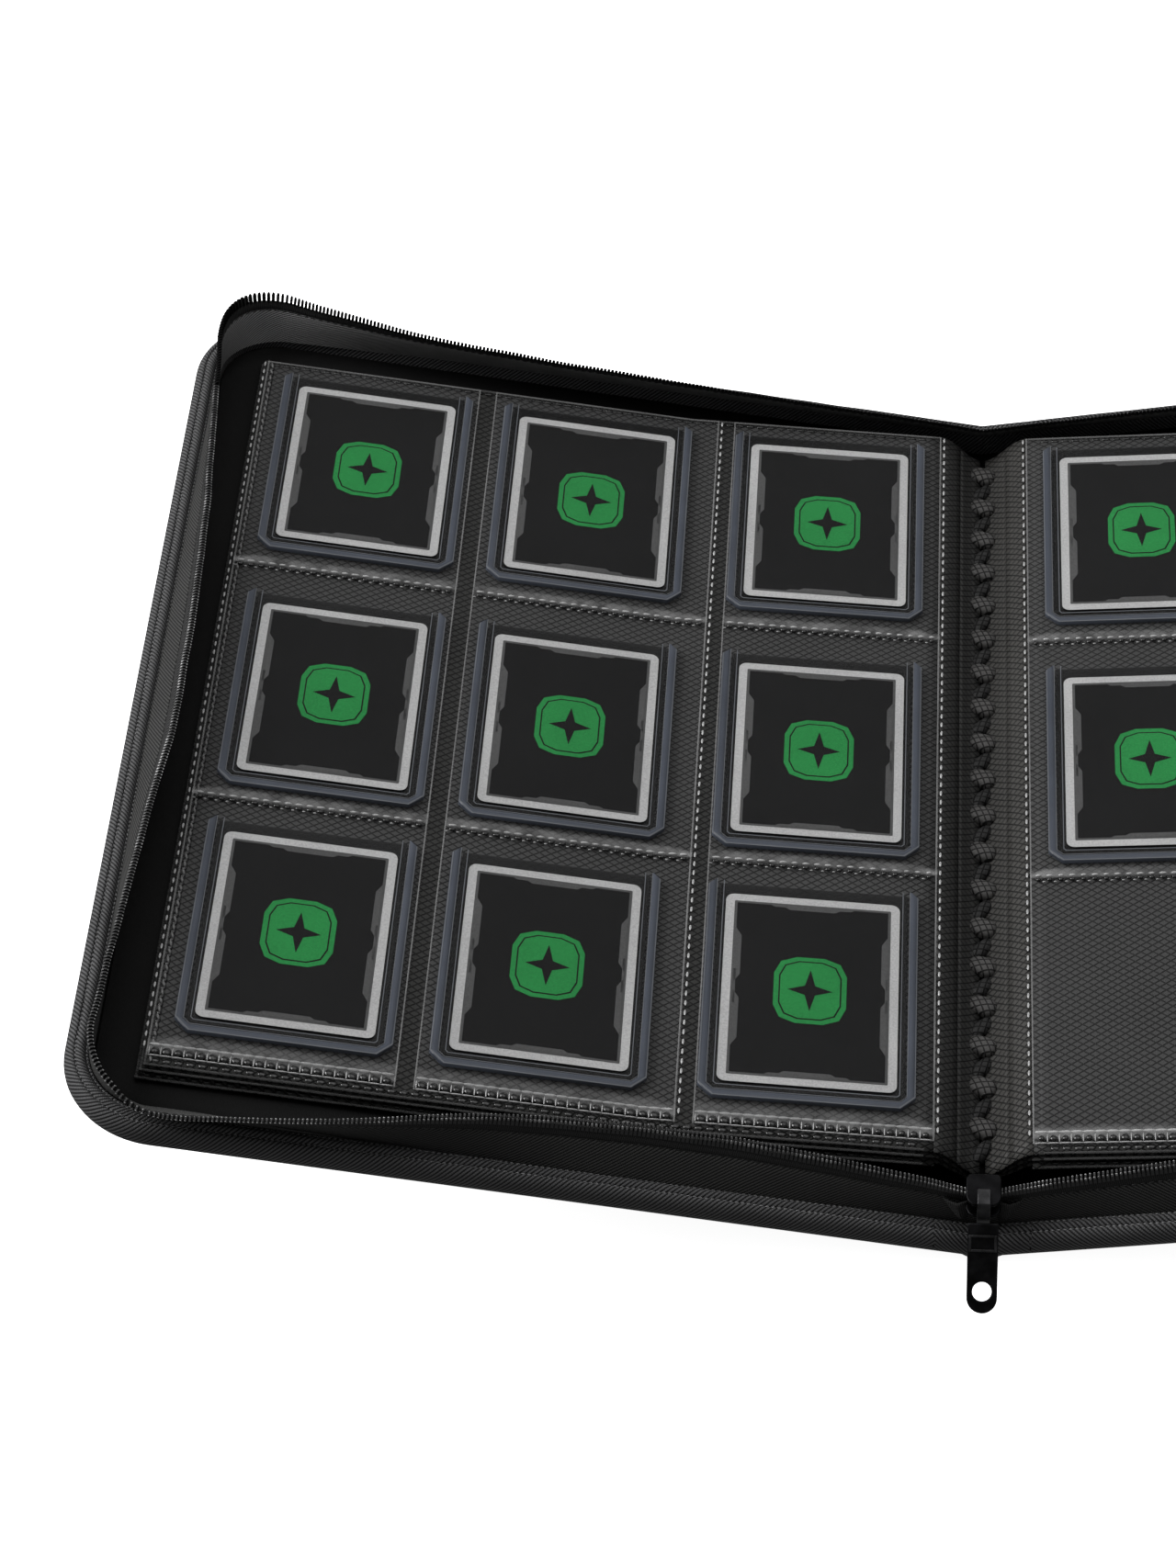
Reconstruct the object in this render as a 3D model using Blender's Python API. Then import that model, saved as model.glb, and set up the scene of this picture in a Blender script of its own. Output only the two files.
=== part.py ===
# Zip-up trading card binder, lying open on its spine in a shallow V.
# X runs across the binder to the right, Y up the pages, Z up. The origin is on the spine's flat underside.
# "Front" is the left half and "back" the right half. All sizes are in metres.

import math

import bmesh
import bpy
from mathutils import Vector

# Driving dimensions of the covers.
COVER_TILT = math.radians(9.5)
COVER_REACH = 0.321  # spine centre to outer edge, up the slope
COVER_HALF_HEIGHT = 0.212
COVER_LEVEL = 0.0055  # height of the covers' middle plane over the spine's centre
CORNER_RADIUS = 0.034
RIM_WIDTH = 0.010
RIM_HALF = 0.0055
SKIN_THICK = 0.0012
BOARD_THICK = 0.0025
LINING_THICK = 0.0005
FOLD_REACH = 0.0215  # spine centre to the line that a cover folds about
FOLD_GAP = 0.003  # soft strip left free on each side of that line
TOUCH = 0.0003  # air left between pieces that touch

# Zip wall round three sides of each cover.
WALL_INSET = 0.009
WALL_THICK = 0.0012
WALL_START = 0.042  # spine centre to where a cover's own wall starts
WALL_TOP = 0.0180
TEETH_TOP = 0.0204
TEETH_THICK = 0.0022
ZIP_HALF_LINK = 0.015
# How far the zip leans in from the wall's foot, against the distance along the wall from its near end to its far end.
WALL_LEAN = (
    (0.000, 0.0000), (0.045, 0.0045), (0.100, 0.0088), (0.170, 0.0050), (0.225, -0.0065),
    (0.263, -0.0122), (0.287, -0.0139), (0.300, -0.0070), (0.320, -0.0009), (0.361, 0.0017),
    (0.397, 0.0039), (0.433, 0.0060), (0.468, 0.0088), (0.560, 0.0074), (0.655, 0.0012),
    (0.685, -0.0012), (0.708, -0.0072), (0.736, -0.0015), (0.786, 0.0069), (0.891, 0.0120),
    (0.971, 0.0135),
)

# Leaves, measured from the top face of the rigid sleeves in their pockets.
LEAF_TILT = math.radians(9.05)
LEAF_LEVEL = 0.0165
LEAF_REACH = 0.2916
LEAF_HALF_HEIGHT = 0.185
LEAF_INNER = 0.0176
KNEE_REACH = 0.1193  # where the third column bends away from the other two
KNEE_TILT = math.radians(4.83)
BACKING_THICK = 0.0005
FILM_THICK = 0.0002
LOWER_LEAF_THICK = 0.0026
LOWER_LEAVES = 2
STACK_FOLD = (0.015, 0.0135)  # line that the leaves of one side fold about: distance from the centre, height
TURN_HEIGHT = 0.027  # height of the line that a top leaf turns about

# Rigid top-loading sleeve and its card.
SLEEVE = (0.0762, 0.1016, 0.0020)
SLEEVE_SEAM = 0.003
SLOT_HEIGHT = 0.0009
CARD = (0.063, 0.088, 0.0003)
CARD_DROP = 0.006
CARD_CORNER = 0.003
COLUMN_STARTS = (0.2836, 0.1947, 0.1010)  # outer edge of the sleeves in each column
ROWS = ((0.1772, 0.0656), (0.0519, -0.0577), (-0.0673, -0.1785))  # a sleeve's top edge, the stitched line below it
FILM_HEAD = 0.1835  # film's top edge
FILM_HEM = 0.0026  # film left below the lowest stitched line
# Each film: its stitched edge, its open edge.
FILM_EDGES = ((0.2912, 0.2049), (0.1078, 0.1987), (0.0180, 0.1018))
FILM_RISE = 0.0055  # how far from a stitched line the film comes up onto the sleeves
FILM_HEM_WIDTH = 0.0016
FILM_OVERRUN = 0.0015  # film past a sleeve's top edge before it falls

# Zip slider and pull.
SLIDER_Y = -0.2035
SLIDER_Z = 0.0252
SLIDER_SIZE = (0.012, 0.0135, 0.0013)
SLIDER_GAP = 0.0049
SLIDER_NOSE = 0.5  # share of the length that the tapered nose starts at
SLIDER_SHOULDER = 0.7
POST_WIDTH = 0.3
BRIDGE_WIDTH = 0.0046
BRIDGE_THICK = 0.0013
BRIDGE_RUN = 0.0065  # along the top plate
BRIDGE_FOOT = 0.0062  # below the slider's middle
PULL_PIVOT = (-0.2128, 0.0222)
PULL_SLOPE = math.radians(41.7)
PULL_SIZE = (0.0104, 0.0306, 0.0018)
PULL_HOLE = 0.0033
PULL_HOLE_RISE = 0.0022  # hole's centre above the centre of the rounded tip
PULL_CORNER = 0.0010

# Binding in the gutter.
BINDING_HALF = 0.0048
BINDING_BASE = 0.0056
BINDING_TOP = 0.0104
LACE_TURNS = 19
LACE_RADIUS = 0.0021
LACE_MARGIN = 0.006

SPINE_FLAT = 0.007
SPINE_HALF = FOLD_REACH - FOLD_GAP
SPINE_DIP_START = 0.011  # the spine's raised ends fall away from here to clear the rims as the covers fold
SPINE_DIP = 0.5  # share of the rim's height left at the fold


def clear_scene():
    for thing in list(bpy.data.objects):
        bpy.data.objects.remove(thing, do_unlink=True)


def make_material(name, colour, roughness, metallic=0.0, alpha=1.0):
    material = bpy.data.materials.new(name)
    material.use_nodes = True
    shader = material.node_tree.nodes["Principled BSDF"]
    shader.inputs["Base Color"].default_value = (*colour, 1.0)
    shader.inputs["Roughness"].default_value = roughness
    shader.inputs["Metallic"].default_value = metallic
    shader.inputs["Alpha"].default_value = alpha
    material.diffuse_color = (*colour, alpha)
    return material


def make_materials():
    return {
        "shell_fabric": make_material("shell_fabric", (0.022, 0.022, 0.023), 0.62),
        "board": make_material("board", (0.16, 0.14, 0.12), 0.8),
        "lining": make_material("lining", (0.012, 0.012, 0.012), 0.75),
        "wall_fabric": make_material("wall_fabric", (0.045, 0.045, 0.046), 0.7),
        "zip_metal": make_material("zip_metal", (0.03, 0.03, 0.03), 0.3, 1.0),
        "leaf_backing": make_material("leaf_backing", (0.035, 0.035, 0.036), 0.5),
        "clear_film": make_material("clear_film", (0.8, 0.8, 0.8), 0.15, 0.0, 0.25),
        "sleeve_plastic": make_material("sleeve_plastic", (0.45, 0.5, 0.58), 0.2, 0.0, 0.4),
        "card": make_material("card", (0.03, 0.03, 0.03), 0.45),
        "slider_metal": make_material("slider_metal", (0.012, 0.012, 0.012), 0.25, 1.0),
    }


def add_frame(name, location, tilt=0.0, parent=None):
    """An empty on a joint's axis, turned about Y."""
    frame = bpy.data.objects.new(name, None)
    bpy.context.scene.collection.objects.link(frame)
    frame.location = location
    frame.rotation_euler = (0.0, tilt, 0.0)
    frame.parent = parent
    return frame


def add_piece(name, mesh, material, parent=None, location=(0.0, 0.0, 0.0), tilt=0.0):
    piece = bpy.data.objects.new(name, mesh)
    bpy.context.scene.collection.objects.link(piece)
    if not mesh.materials:
        mesh.materials.append(material)
    piece.location = location
    piece.rotation_euler = (0.0, tilt, 0.0)
    piece.parent = parent
    return piece


def finish_mesh(name, shape):
    bmesh.ops.recalc_face_normals(shape, faces=shape.faces)
    mesh = bpy.data.meshes.new(name)
    shape.to_mesh(mesh)
    shape.free()
    return mesh


def loft(name, sections, closed_ends=True):
    """A solid through sections, each a closed loop of points with the same count."""
    shape = bmesh.new()
    rings = [[shape.verts.new(point) for point in section] for section in sections]
    for first, second in zip(rings, rings[1:]):
        for i in range(len(first)):
            j = (i + 1) % len(first)
            shape.faces.new((first[i], first[j], second[j], second[i]))
    if closed_ends:
        shape.faces.new(rings[0])
        shape.faces.new(reversed(rings[-1]))
    return finish_mesh(name, shape)


def slab(name, top, thickness):
    """A sheet of the given thickness under a grid of points (a list of rows)."""
    drop = Vector((0.0, 0.0, -thickness))
    shape = bmesh.new()
    upper = [[shape.verts.new(point) for point in row] for row in top]
    lower = [[shape.verts.new(Vector(point) + drop) for point in row] for row in top]
    rows, columns = len(top), len(top[0])
    for i in range(rows - 1):
        for j in range(columns - 1):
            shape.faces.new((upper[i][j], upper[i][j + 1], upper[i + 1][j + 1], upper[i + 1][j]))
            shape.faces.new((lower[i][j], lower[i + 1][j], lower[i + 1][j + 1], lower[i][j + 1]))
    border = [(0, j) for j in range(columns)] + [(i, columns - 1) for i in range(1, rows)]
    border += [(rows - 1, j) for j in range(columns - 2, -1, -1)] + [(i, 0) for i in range(rows - 2, 0, -1)]
    for (a, b), (c, d) in zip(border, border[1:] + border[:1]):
        shape.faces.new((upper[a][b], lower[a][b], lower[c][d], upper[c][d]))
    return finish_mesh(name, shape)


def box(name, low, high):
    (x0, y0, z0), (x1, y1, z1) = low, high
    base = [(x0, y0), (x1, y0), (x1, y1), (x0, y1)]
    return loft(name, [[(x, y, z) for x, y in base] for z in (z0, z1)])


def arc(centre, radius, start, stop, steps):
    """Points on an arc, angles in degrees."""
    angles = [math.radians(start + (stop - start) * i / steps) for i in range(steps + 1)]
    return [(centre[0] + radius * math.cos(a), centre[1] + radius * math.sin(a)) for a in angles]


def cover_outline(inset, steps=6):
    """A cover's three outer sides at an inset, from its near side round to its far side."""
    radius = CORNER_RADIUS - inset
    reach, half = COVER_REACH - CORNER_RADIUS, COVER_HALF_HEIGHT - CORNER_RADIUS
    return arc((reach, -half), radius, -90, 0, steps) + arc((reach, half), radius, 0, 90, steps)


def cover_plate(name, side, inset, low, high, start):
    """A flat layer of a cover."""
    edge = COVER_HALF_HEIGHT - inset
    outline = [(start, -edge)] + cover_outline(inset) + [(start, edge)]
    return loft(name, [[on_cover(side, u, v, h) for u, v in outline] for h in (low, high)])


def on_cover(side, u, v, h):
    """A point of a cover in its frame, which sits on the fold line."""
    return (side * (u - FOLD_REACH), v, h)


def rim_profile():
    """The padded rim's section: inset from the outer edge, height over the middle plane."""
    top, foot = RIM_HALF, RIM_HALF - SKIN_THICK
    return [
        (RIM_WIDTH, -RIM_HALF), (0.0032, -RIM_HALF), (0.0008, -0.0040), (0.0, -0.0013), (0.0002, 0.0018),
        (0.0020, 0.0045), (0.0050, top), (0.0080, 0.0048), (0.0097, 0.0025), (RIM_WIDTH, -foot),
    ]


def make_cover_skin(name, side):
    """The outer skin: a flat panel with a padded rim on three sides."""
    start = FOLD_REACH + FOLD_GAP
    profile = rim_profile()
    loops = []
    for inset, _ in profile:
        edge = COVER_HALF_HEIGHT - inset
        loops.append([(start, -edge)] + cover_outline(inset, 8) + [(start, edge)])
    sections = [
        [on_cover(side, *loops[i][j], profile[i][1]) for i in range(len(profile))] for j in range(len(loops[0]))
    ]
    rim = loft(name, sections)
    inner = RIM_WIDTH - SKIN_THICK
    panel = cover_plate(name + "_panel", side, inner, -RIM_HALF + 0.00005, -RIM_HALF + SKIN_THICK, start)
    return rim, panel


def wall_path(start, steps_side=10, steps_corner=6):
    """Points along the wall's foot, each with its outward direction and its distance along the wall."""
    radius = CORNER_RADIUS - WALL_INSET
    reach, half = COVER_REACH - CORNER_RADIUS, COVER_HALF_HEIGHT - CORNER_RADIUS
    edge = half + radius
    path = []
    for i in range(steps_side):
        path.append((start + (reach - start) * i / steps_side, -edge, 0.0, -1.0))
    for u, v in arc((reach, -half), radius, -90, 0, steps_corner):
        path.append((u, v, (u - reach) / radius, (v + half) / radius))
    for i in range(1, steps_side):
        path.append((reach + radius, -half + 2 * half * i / steps_side, 1.0, 0.0))
    for u, v in arc((reach, half), radius, 0, 90, steps_corner):
        path.append((u, v, (u - reach) / radius, (v - half) / radius))
    for i in range(1, steps_side + 1):
        path.append((reach + (start - reach) * i / steps_side, edge, 0.0, 1.0))
    travelled, measured = start, []
    for i, (u, v, a, b) in enumerate(path):
        if i:
            travelled += math.dist((u, v), path[i - 1][:2])
        measured.append((u, v, a, b, travelled))
    return measured


def lean_at(distance):
    """The zip's inward lean at a distance along the wall, on a smooth curve through the listed values."""
    last = len(WALL_LEAN) - 2
    i = next((k for k in range(last) if distance < WALL_LEAN[k + 1][0]), last)
    (d0, lean0), (d1, lean1) = WALL_LEAN[i], WALL_LEAN[i + 1]
    before, after = WALL_LEAN[max(i - 1, 0)], WALL_LEAN[min(i + 2, last + 1)]
    span = d1 - d0
    slope0 = (lean1 - before[1]) / (d1 - before[0]) * span
    slope1 = (after[1] - lean0) / (after[0] - d0) * span
    t = min(max((distance - d0) / span, 0.0), 1.0)
    rise = lean0 + (lean1 - lean0) * t * t * (3 - 2 * t)
    return rise + slope0 * t * (1 - t) ** 2 - slope1 * t * t * (1 - t)


def make_wall(name, side, low, high, thick):
    """A strip that stands on the wall's foot line between two heights and leans with the zip."""
    foot = RIM_HALF + TOUCH
    sections = []
    for u, v, a, b, distance in wall_path(WALL_START):
        lean = lean_at(distance)
        section = []
        for h, outward in ((low, 0.5), (high, 0.5), (high, -0.5), (low, -0.5)):
            shift = outward * thick - lean * (h - foot) / (TEETH_TOP - foot)
            section.append(on_cover(side, u + a * shift, v + b * shift, h))
        sections.append(section)
    return loft(name, sections)


def sheet_point(w, m):
    """Distance out and height of a point of a leaf: w up the sheet from the gutter, m over the sleeves' top face."""
    if w >= KNEE_REACH:
        return w, m
    d = KNEE_REACH - w
    return (
        KNEE_REACH - d * math.cos(KNEE_TILT) + m * math.sin(KNEE_TILT),
        d * math.sin(KNEE_TILT) + m * math.cos(KNEE_TILT),
    )


def leaf_coordinates(reach, height):
    """A world point of the right half, as distance out along a leaf and height over it."""
    rise = height - LEAF_LEVEL
    return (
        reach * math.cos(LEAF_TILT) + rise * math.sin(LEAF_TILT),
        -reach * math.sin(LEAF_TILT) + rise * math.cos(LEAF_TILT),
    )


def leaf_point(side, axis, w, v, m):
    """A leaf's point in the frame that sits at axis, given in leaf coordinates."""
    out, up = sheet_point(w, m)
    return (side * (out - axis[0]), v, up - axis[1])


def make_leaf_sheet(name, side, axis, top, thickness):
    """A bent sheet of a leaf's full size, its upper face at top."""
    stops = (LEAF_INNER, KNEE_REACH - 0.012, KNEE_REACH, LEAF_REACH)
    half = LEAF_HALF_HEIGHT
    sections = []
    for v in (-half, half):
        upper = [leaf_point(side, axis, w, v, top) for w in stops]
        lower = [leaf_point(side, axis, w, v, top - thickness) for w in reversed(stops)]
        sections.append(upper + lower)
    return loft(name, sections)


def film_rows():
    """Heights up the leaf of a film's folds, each with 1 where it rides on the sleeves and 0 where it is sewn down."""
    rows = [(ROWS[-1][1] - FILM_HEM, 0)]
    for top, seam in reversed(ROWS):
        rows += [(seam, 0), (seam + FILM_RISE, 1), (top + FILM_OVERRUN, 1)]
    rows.append((FILM_HEAD, 0))
    return rows


def make_film(name, side, axis, sewn, free):
    """A pocket film down one column: sewn to the backing along one edge and across each row, open at the other edge."""
    low, high = TOUCH - SLEEVE[2] + FILM_THICK, TOUCH + FILM_THICK
    inward = 1 if free > sewn else -1
    hem = sewn + inward * FILM_HEM_WIDTH
    columns = [(sewn, 0), (hem, 0), (hem + inward * FILM_RISE, 1), (free, 1)]
    grid = []
    for v, up_row in film_rows():
        row = []
        for w, up_column in columns:
            m = high if up_row and up_column else low
            row.append(leaf_point(side, axis, w, v, m))
        grid.append(row)
    return slab(name, grid, FILM_THICK)


def make_sleeve():
    """A rigid sleeve, open at its top edge, centred on its top face."""
    width, height, thick = SLEEVE
    half, inner = width / 2, width / 2 - SLEEVE_SEAM
    top, bottom = height / 2, -height / 2
    slot_top, slot_low = -(thick - SLOT_HEIGHT) / 2, -(thick + SLOT_HEIGHT) / 2
    floor = bottom + SLEEVE_SEAM
    shape = bmesh.new()

    def ring(x, y, low, high):
        return [shape.verts.new(point) for point in ((-x, y, low), (x, y, low), (x, y, high), (-x, y, high))]

    outer_low, outer_high = ring(half, bottom, -thick, 0.0), ring(half, top, -thick, 0.0)
    slot_mouth, slot_floor = ring(inner, top, slot_low, slot_top), ring(inner, floor, slot_low, slot_top)
    for first, second in ((outer_low, outer_high), (outer_high, slot_mouth), (slot_mouth, slot_floor)):
        for i in range(4):
            j = (i + 1) % 4
            shape.faces.new((first[i], first[j], second[j], second[i]))
    shape.faces.new(outer_low)
    shape.faces.new(slot_floor)
    return finish_mesh("sleeve", shape)


def make_card():
    width, height, thick = CARD
    x, y, r = width / 2 - CARD_CORNER, height / 2 - CARD_CORNER, CARD_CORNER
    outline = arc((x, y), r, 0, 90, 3) + arc((-x, y), r, 90, 180, 3)
    outline += arc((-x, -y), r, 180, 270, 3) + arc((x, -y), r, 270, 360, 3)
    return loft("card", [[(px, py, z) for px, py in outline] for z in (-thick / 2, thick / 2)])


def fill_pockets(leaf, side, frame, axis, rows_filled, materials, meshes):
    """A sleeve and its card in each filled pocket of a top leaf."""
    for column, start in enumerate(COLUMN_STARTS):
        bent = start < KNEE_REACH
        tilt = side * KNEE_TILT if bent else 0.0
        for row, (top, _) in enumerate(ROWS[:rows_filled]):
            middle = top - SLEEVE[1] / 2
            place = leaf_point(side, axis, start - SLEEVE[0] / 2, middle, 0.0)
            label = f"{leaf}_{row + 1}{column + 1}"
            sleeve = f"toploader_{label}"
            add_piece(sleeve, meshes["sleeve"], materials["sleeve_plastic"], frame, place, tilt)
            card_y = middle + SLEEVE[1] / 2 - CARD_DROP - CARD[1] / 2
            place = leaf_point(side, axis, start - SLEEVE[0] / 2, card_y, -SLEEVE[2] / 2)
            add_piece(f"card_{label}", meshes["card"], materials["card"], frame, place, tilt)


def make_half(side, word, leaf_number, rows_filled, materials, meshes):
    """One half of the binder: cover, zip wall, lower leaves and the top leaf with its pockets."""
    fold = (side * FOLD_REACH * math.cos(COVER_TILT), 0.0, COVER_LEVEL + FOLD_REACH * math.sin(COVER_TILT))
    cover = add_frame(f"{word}_cover_frame", fold, -side * COVER_TILT)
    rim, panel = make_cover_skin(f"{word}_cover_skin", side)
    skin = add_piece(f"{word}_cover_skin", rim, materials["shell_fabric"], cover)
    helper = add_piece(f"{word}_cover_panel_tool", panel, materials["shell_fabric"], cover)
    helper.hide_render = True
    helper.display_type = "WIRE"
    union = skin.modifiers.new("panel", "BOOLEAN")
    union.operation = "UNION"
    union.solver = "EXACT"
    union.object = helper

    low = -RIM_HALF + SKIN_THICK + TOUCH
    inset = RIM_WIDTH + TOUCH
    start = FOLD_REACH + FOLD_GAP
    board = cover_plate(f"{word}_cover_board", side, inset, low, low + BOARD_THICK, start)
    add_piece(f"{word}_cover_board", board, materials["board"], cover)
    low += BOARD_THICK + TOUCH
    lining = cover_plate(f"{word}_cover_lining", side, inset, low, low + LINING_THICK, start)
    add_piece(f"{word}_cover_lining", lining, materials["lining"], cover)
    wall = make_wall(f"{word}_zip_wall", side, RIM_HALF + TOUCH, WALL_TOP, WALL_THICK)
    add_piece(f"{word}_zip_wall", wall, materials["wall_fabric"], cover)
    teeth = make_wall(f"{word}_zip_teeth", side, WALL_TOP + TOUCH, TEETH_TOP, TEETH_THICK)
    add_piece(f"{word}_zip_teeth", teeth, materials["zip_metal"], cover)

    stack_axis = leaf_coordinates(*STACK_FOLD)
    stack = add_frame(f"{word}_leaves_frame", (side * STACK_FOLD[0], 0.0, STACK_FOLD[1]), -side * LEAF_TILT)
    backing_top = -SLEEVE[2] - TOUCH
    top = backing_top - BACKING_THICK - TOUCH
    for i in range(LOWER_LEAVES):
        name = f"leaf_{leaf_number + i + 1}_filled"
        sheet = make_leaf_sheet(name, side, stack_axis, top, LOWER_LEAF_THICK)
        add_piece(name, sheet, materials["leaf_backing"], stack)
        top -= LOWER_LEAF_THICK + TOUCH

    turn_axis = leaf_coordinates(0.0, TURN_HEIGHT)
    offset = (side * (turn_axis[0] - stack_axis[0]), 0.0, turn_axis[1] - stack_axis[1])
    leaf_frame = add_frame(f"{word}_top_leaf_frame", offset, 0.0, stack)
    leaf = f"leaf_{leaf_number}"
    sheet = make_leaf_sheet(f"{leaf}_backing", side, turn_axis, backing_top, BACKING_THICK)
    add_piece(f"{leaf}_backing", sheet, materials["leaf_backing"], leaf_frame)
    for column, (sewn, free) in enumerate(FILM_EDGES):
        name = f"{leaf}_film_{column + 1}"
        film = make_film(name, side, turn_axis, sewn, free)
        add_piece(name, film, materials["clear_film"], leaf_frame)
    fill_pockets(leaf, side, leaf_frame, turn_axis, rows_filled, materials, meshes)


def spine_section(x):
    """The spine's section across Y at a distance from its centre: a strip with the rim's raised ends."""
    level = COVER_LEVEL + abs(x) * math.tan(COVER_TILT)
    underside = 0.0 if abs(x) <= SPINE_FLAT else level - RIM_HALF / math.cos(COVER_TILT)
    dip = max(0.0, abs(x) - SPINE_DIP_START) / (SPINE_HALF - SPINE_DIP_START)
    points = []
    for inset, height in reversed(rim_profile()[1:]):
        if height > 0:
            height *= 1 - (1 - SPINE_DIP) * dip
        points.append((inset - COVER_HALF_HEIGHT, level + height))
    points[-1] = (points[-1][0], underside)
    loop = [(-COVER_HALF_HEIGHT + RIM_WIDTH, level - SKIN_THICK)] + points[1:]
    loop += [(-y, z) for y, z in reversed(loop)]
    return [(x, y, z) for y, z in loop]


def make_spine_end(name, lean, way, top):
    """The folded end of the zip walls over one end of the spine, up to a height over the covers' middle plane."""
    sections = []
    foot = RIM_HALF + TOUCH
    for x in (-ZIP_HALF_LINK, 0.0, ZIP_HALF_LINK):
        level = COVER_LEVEL + abs(x) * math.tan(COVER_TILT)
        section = []
        for h, outward in ((foot, 0.5), (top, 0.5), (top, -0.5), (foot, -0.5)):
            inward = lean * (h - foot) / (TEETH_TOP - foot) - outward * WALL_THICK
            section.append((x, way * (COVER_HALF_HEIGHT - WALL_INSET - inward), level + h))
        sections.append(section)
    return loft(name, sections)


def make_lace():
    """The binding lace: one cord laid in a zigzag down the gutter."""
    half = LEAF_HALF_HEIGHT - LACE_MARGIN
    count = LACE_TURNS * 2
    swing = BINDING_HALF - LACE_RADIUS
    level = BINDING_TOP + TOUCH + LACE_RADIUS
    curve = bpy.data.curves.new("binding_lace_path", "CURVE")
    curve.dimensions = "3D"
    curve.bevel_depth = LACE_RADIUS
    curve.bevel_resolution = 1
    curve.use_fill_caps = True
    spline = curve.splines.new("POLY")
    spline.points.add(count)
    for i, point in enumerate(spline.points):
        point.co = (swing if i % 2 else -swing, -half + 2 * half * i / count, level, 1.0)
    return curve


def make_spine(materials):
    stations = (-SPINE_HALF * math.cos(COVER_TILT), -SPINE_DIP_START, -SPINE_FLAT, 0.0)
    stations += tuple(-x for x in reversed(stations[:-1]))
    skin = loft("spine_skin", [spine_section(x) for x in stations])
    add_piece("spine_skin", skin, materials["shell_fabric"])
    half = LEAF_HALF_HEIGHT
    strip = box("binding_strip", (-BINDING_HALF, -half, BINDING_BASE), (BINDING_HALF, half, BINDING_TOP))
    add_piece("binding_strip", strip, materials["leaf_backing"])
    add_piece("binding_lace", make_lace(), materials["leaf_backing"])
    below_slider = SLIDER_Z - SLIDER_GAP / 2 - SLIDER_SIZE[2] - TOUCH
    near_top = below_slider - COVER_LEVEL - ZIP_HALF_LINK * math.tan(COVER_TILT)
    near = make_spine_end("zip_end_near", WALL_LEAN[0][1], -1, near_top)
    add_piece("zip_end_near", near, materials["wall_fabric"])
    far = make_spine_end("zip_end_far", WALL_LEAN[-1][1], 1, WALL_TOP)
    add_piece("zip_end_far", far, materials["wall_fabric"])


def make_slider(materials):
    """The slider's two plates round the zip, joined by a post, and the bridge that holds the pull."""
    width, length, thick = SLIDER_SIZE
    centre = (0.0, SLIDER_Y, SLIDER_Z)
    slider = add_frame("slider_frame", centre)
    gap = SLIDER_GAP / 2
    x, y = width / 2, length / 2
    plate = [(-x, -y * SLIDER_NOSE), (-x * 0.6, -y), (x * 0.6, -y), (x, -y * SLIDER_NOSE)]
    plate += [(x, y * SLIDER_SHOULDER), (x * 0.75, y), (-x * 0.75, y), (-x, y * SLIDER_SHOULDER)]
    post = [(-x * POST_WIDTH, y * 0.2), (0.0, -y * 0.3), (x * POST_WIDTH, y * 0.2), (0.0, y * 0.9)]
    levels = ((plate, -gap - thick, -gap), (post, -gap - thick / 2, gap + thick / 2), (plate, gap, gap + thick))
    meshes = []
    for i, (outline, low, high) in enumerate(levels):
        meshes.append(loft(f"slider_{i}", [[(px, py, z) for px, py in outline] for z in (low, high)]))
    body = add_piece("slider_body", meshes[0], materials["slider_metal"], slider)
    for i, mesh in enumerate(meshes[1:]):
        tool = add_piece(f"slider_tool_{i}", mesh, materials["slider_metal"], slider)
        tool.hide_render = True
        tool.display_type = "WIRE"
        union = body.modifiers.new(f"join_{i}", "BOOLEAN")
        union.operation = "UNION"
        union.solver = "EXACT"
        union.object = tool
    return slider


def make_bridge(materials, slider):
    """A bent strip from the top plate down the slider's near side, with an eye that the pull hangs in."""
    half, thick = BRIDGE_WIDTH / 2, BRIDGE_THICK
    front = -SLIDER_SIZE[1] / 2 - TOUCH
    top = SLIDER_GAP / 2 + SLIDER_SIZE[2] + TOUCH
    back, foot = front + BRIDGE_RUN, -BRIDGE_FOOT
    outline = [(back, top), (back, top + thick), (front - thick, top + thick), (front - thick, foot)]
    outline += [(front, foot), (front, top)]
    mesh = loft("slider_bridge", [[(x, y, z) for y, z in outline] for x in (-half, half)])
    add_piece("slider_bridge", mesh, materials["slider_metal"], slider)


def make_pull(materials):
    """The pull tab: a rounded plate with a hole near its tip and a raised bracket at its top."""
    width, length, thick = PULL_SIZE
    frame = add_frame("pull_frame", (0.0, *PULL_PIVOT))
    frame.rotation_euler = (PULL_SLOPE, 0.0, 0.0)
    r = width / 2
    outline = arc((0.0, -length + r), r, 180, 360, 10) + [(r, -PULL_CORNER), (r - PULL_CORNER, 0.0)]
    outline += [(PULL_CORNER - r, 0.0), (-r, -PULL_CORNER)]
    plate = loft("pull_tab", [[(x, y, z) for x, y in outline] for z in (-thick / 2, thick / 2)])
    pull = add_piece("pull_tab", plate, materials["slider_metal"], frame)
    hole = arc((0.0, -length + r + PULL_HOLE_RISE), PULL_HOLE, 0, 345, 23)
    drill = loft("pull_hole", [[(x, y, z) for x, y in hole] for z in (-thick, thick)])
    tool = add_piece("pull_hole_tool", drill, materials["slider_metal"], frame)
    tool.hide_render = True
    tool.display_type = "WIRE"
    cut = pull.modifiers.new("hole", "BOOLEAN")
    cut.operation = "DIFFERENCE"
    cut.solver = "EXACT"
    cut.object = tool


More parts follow.
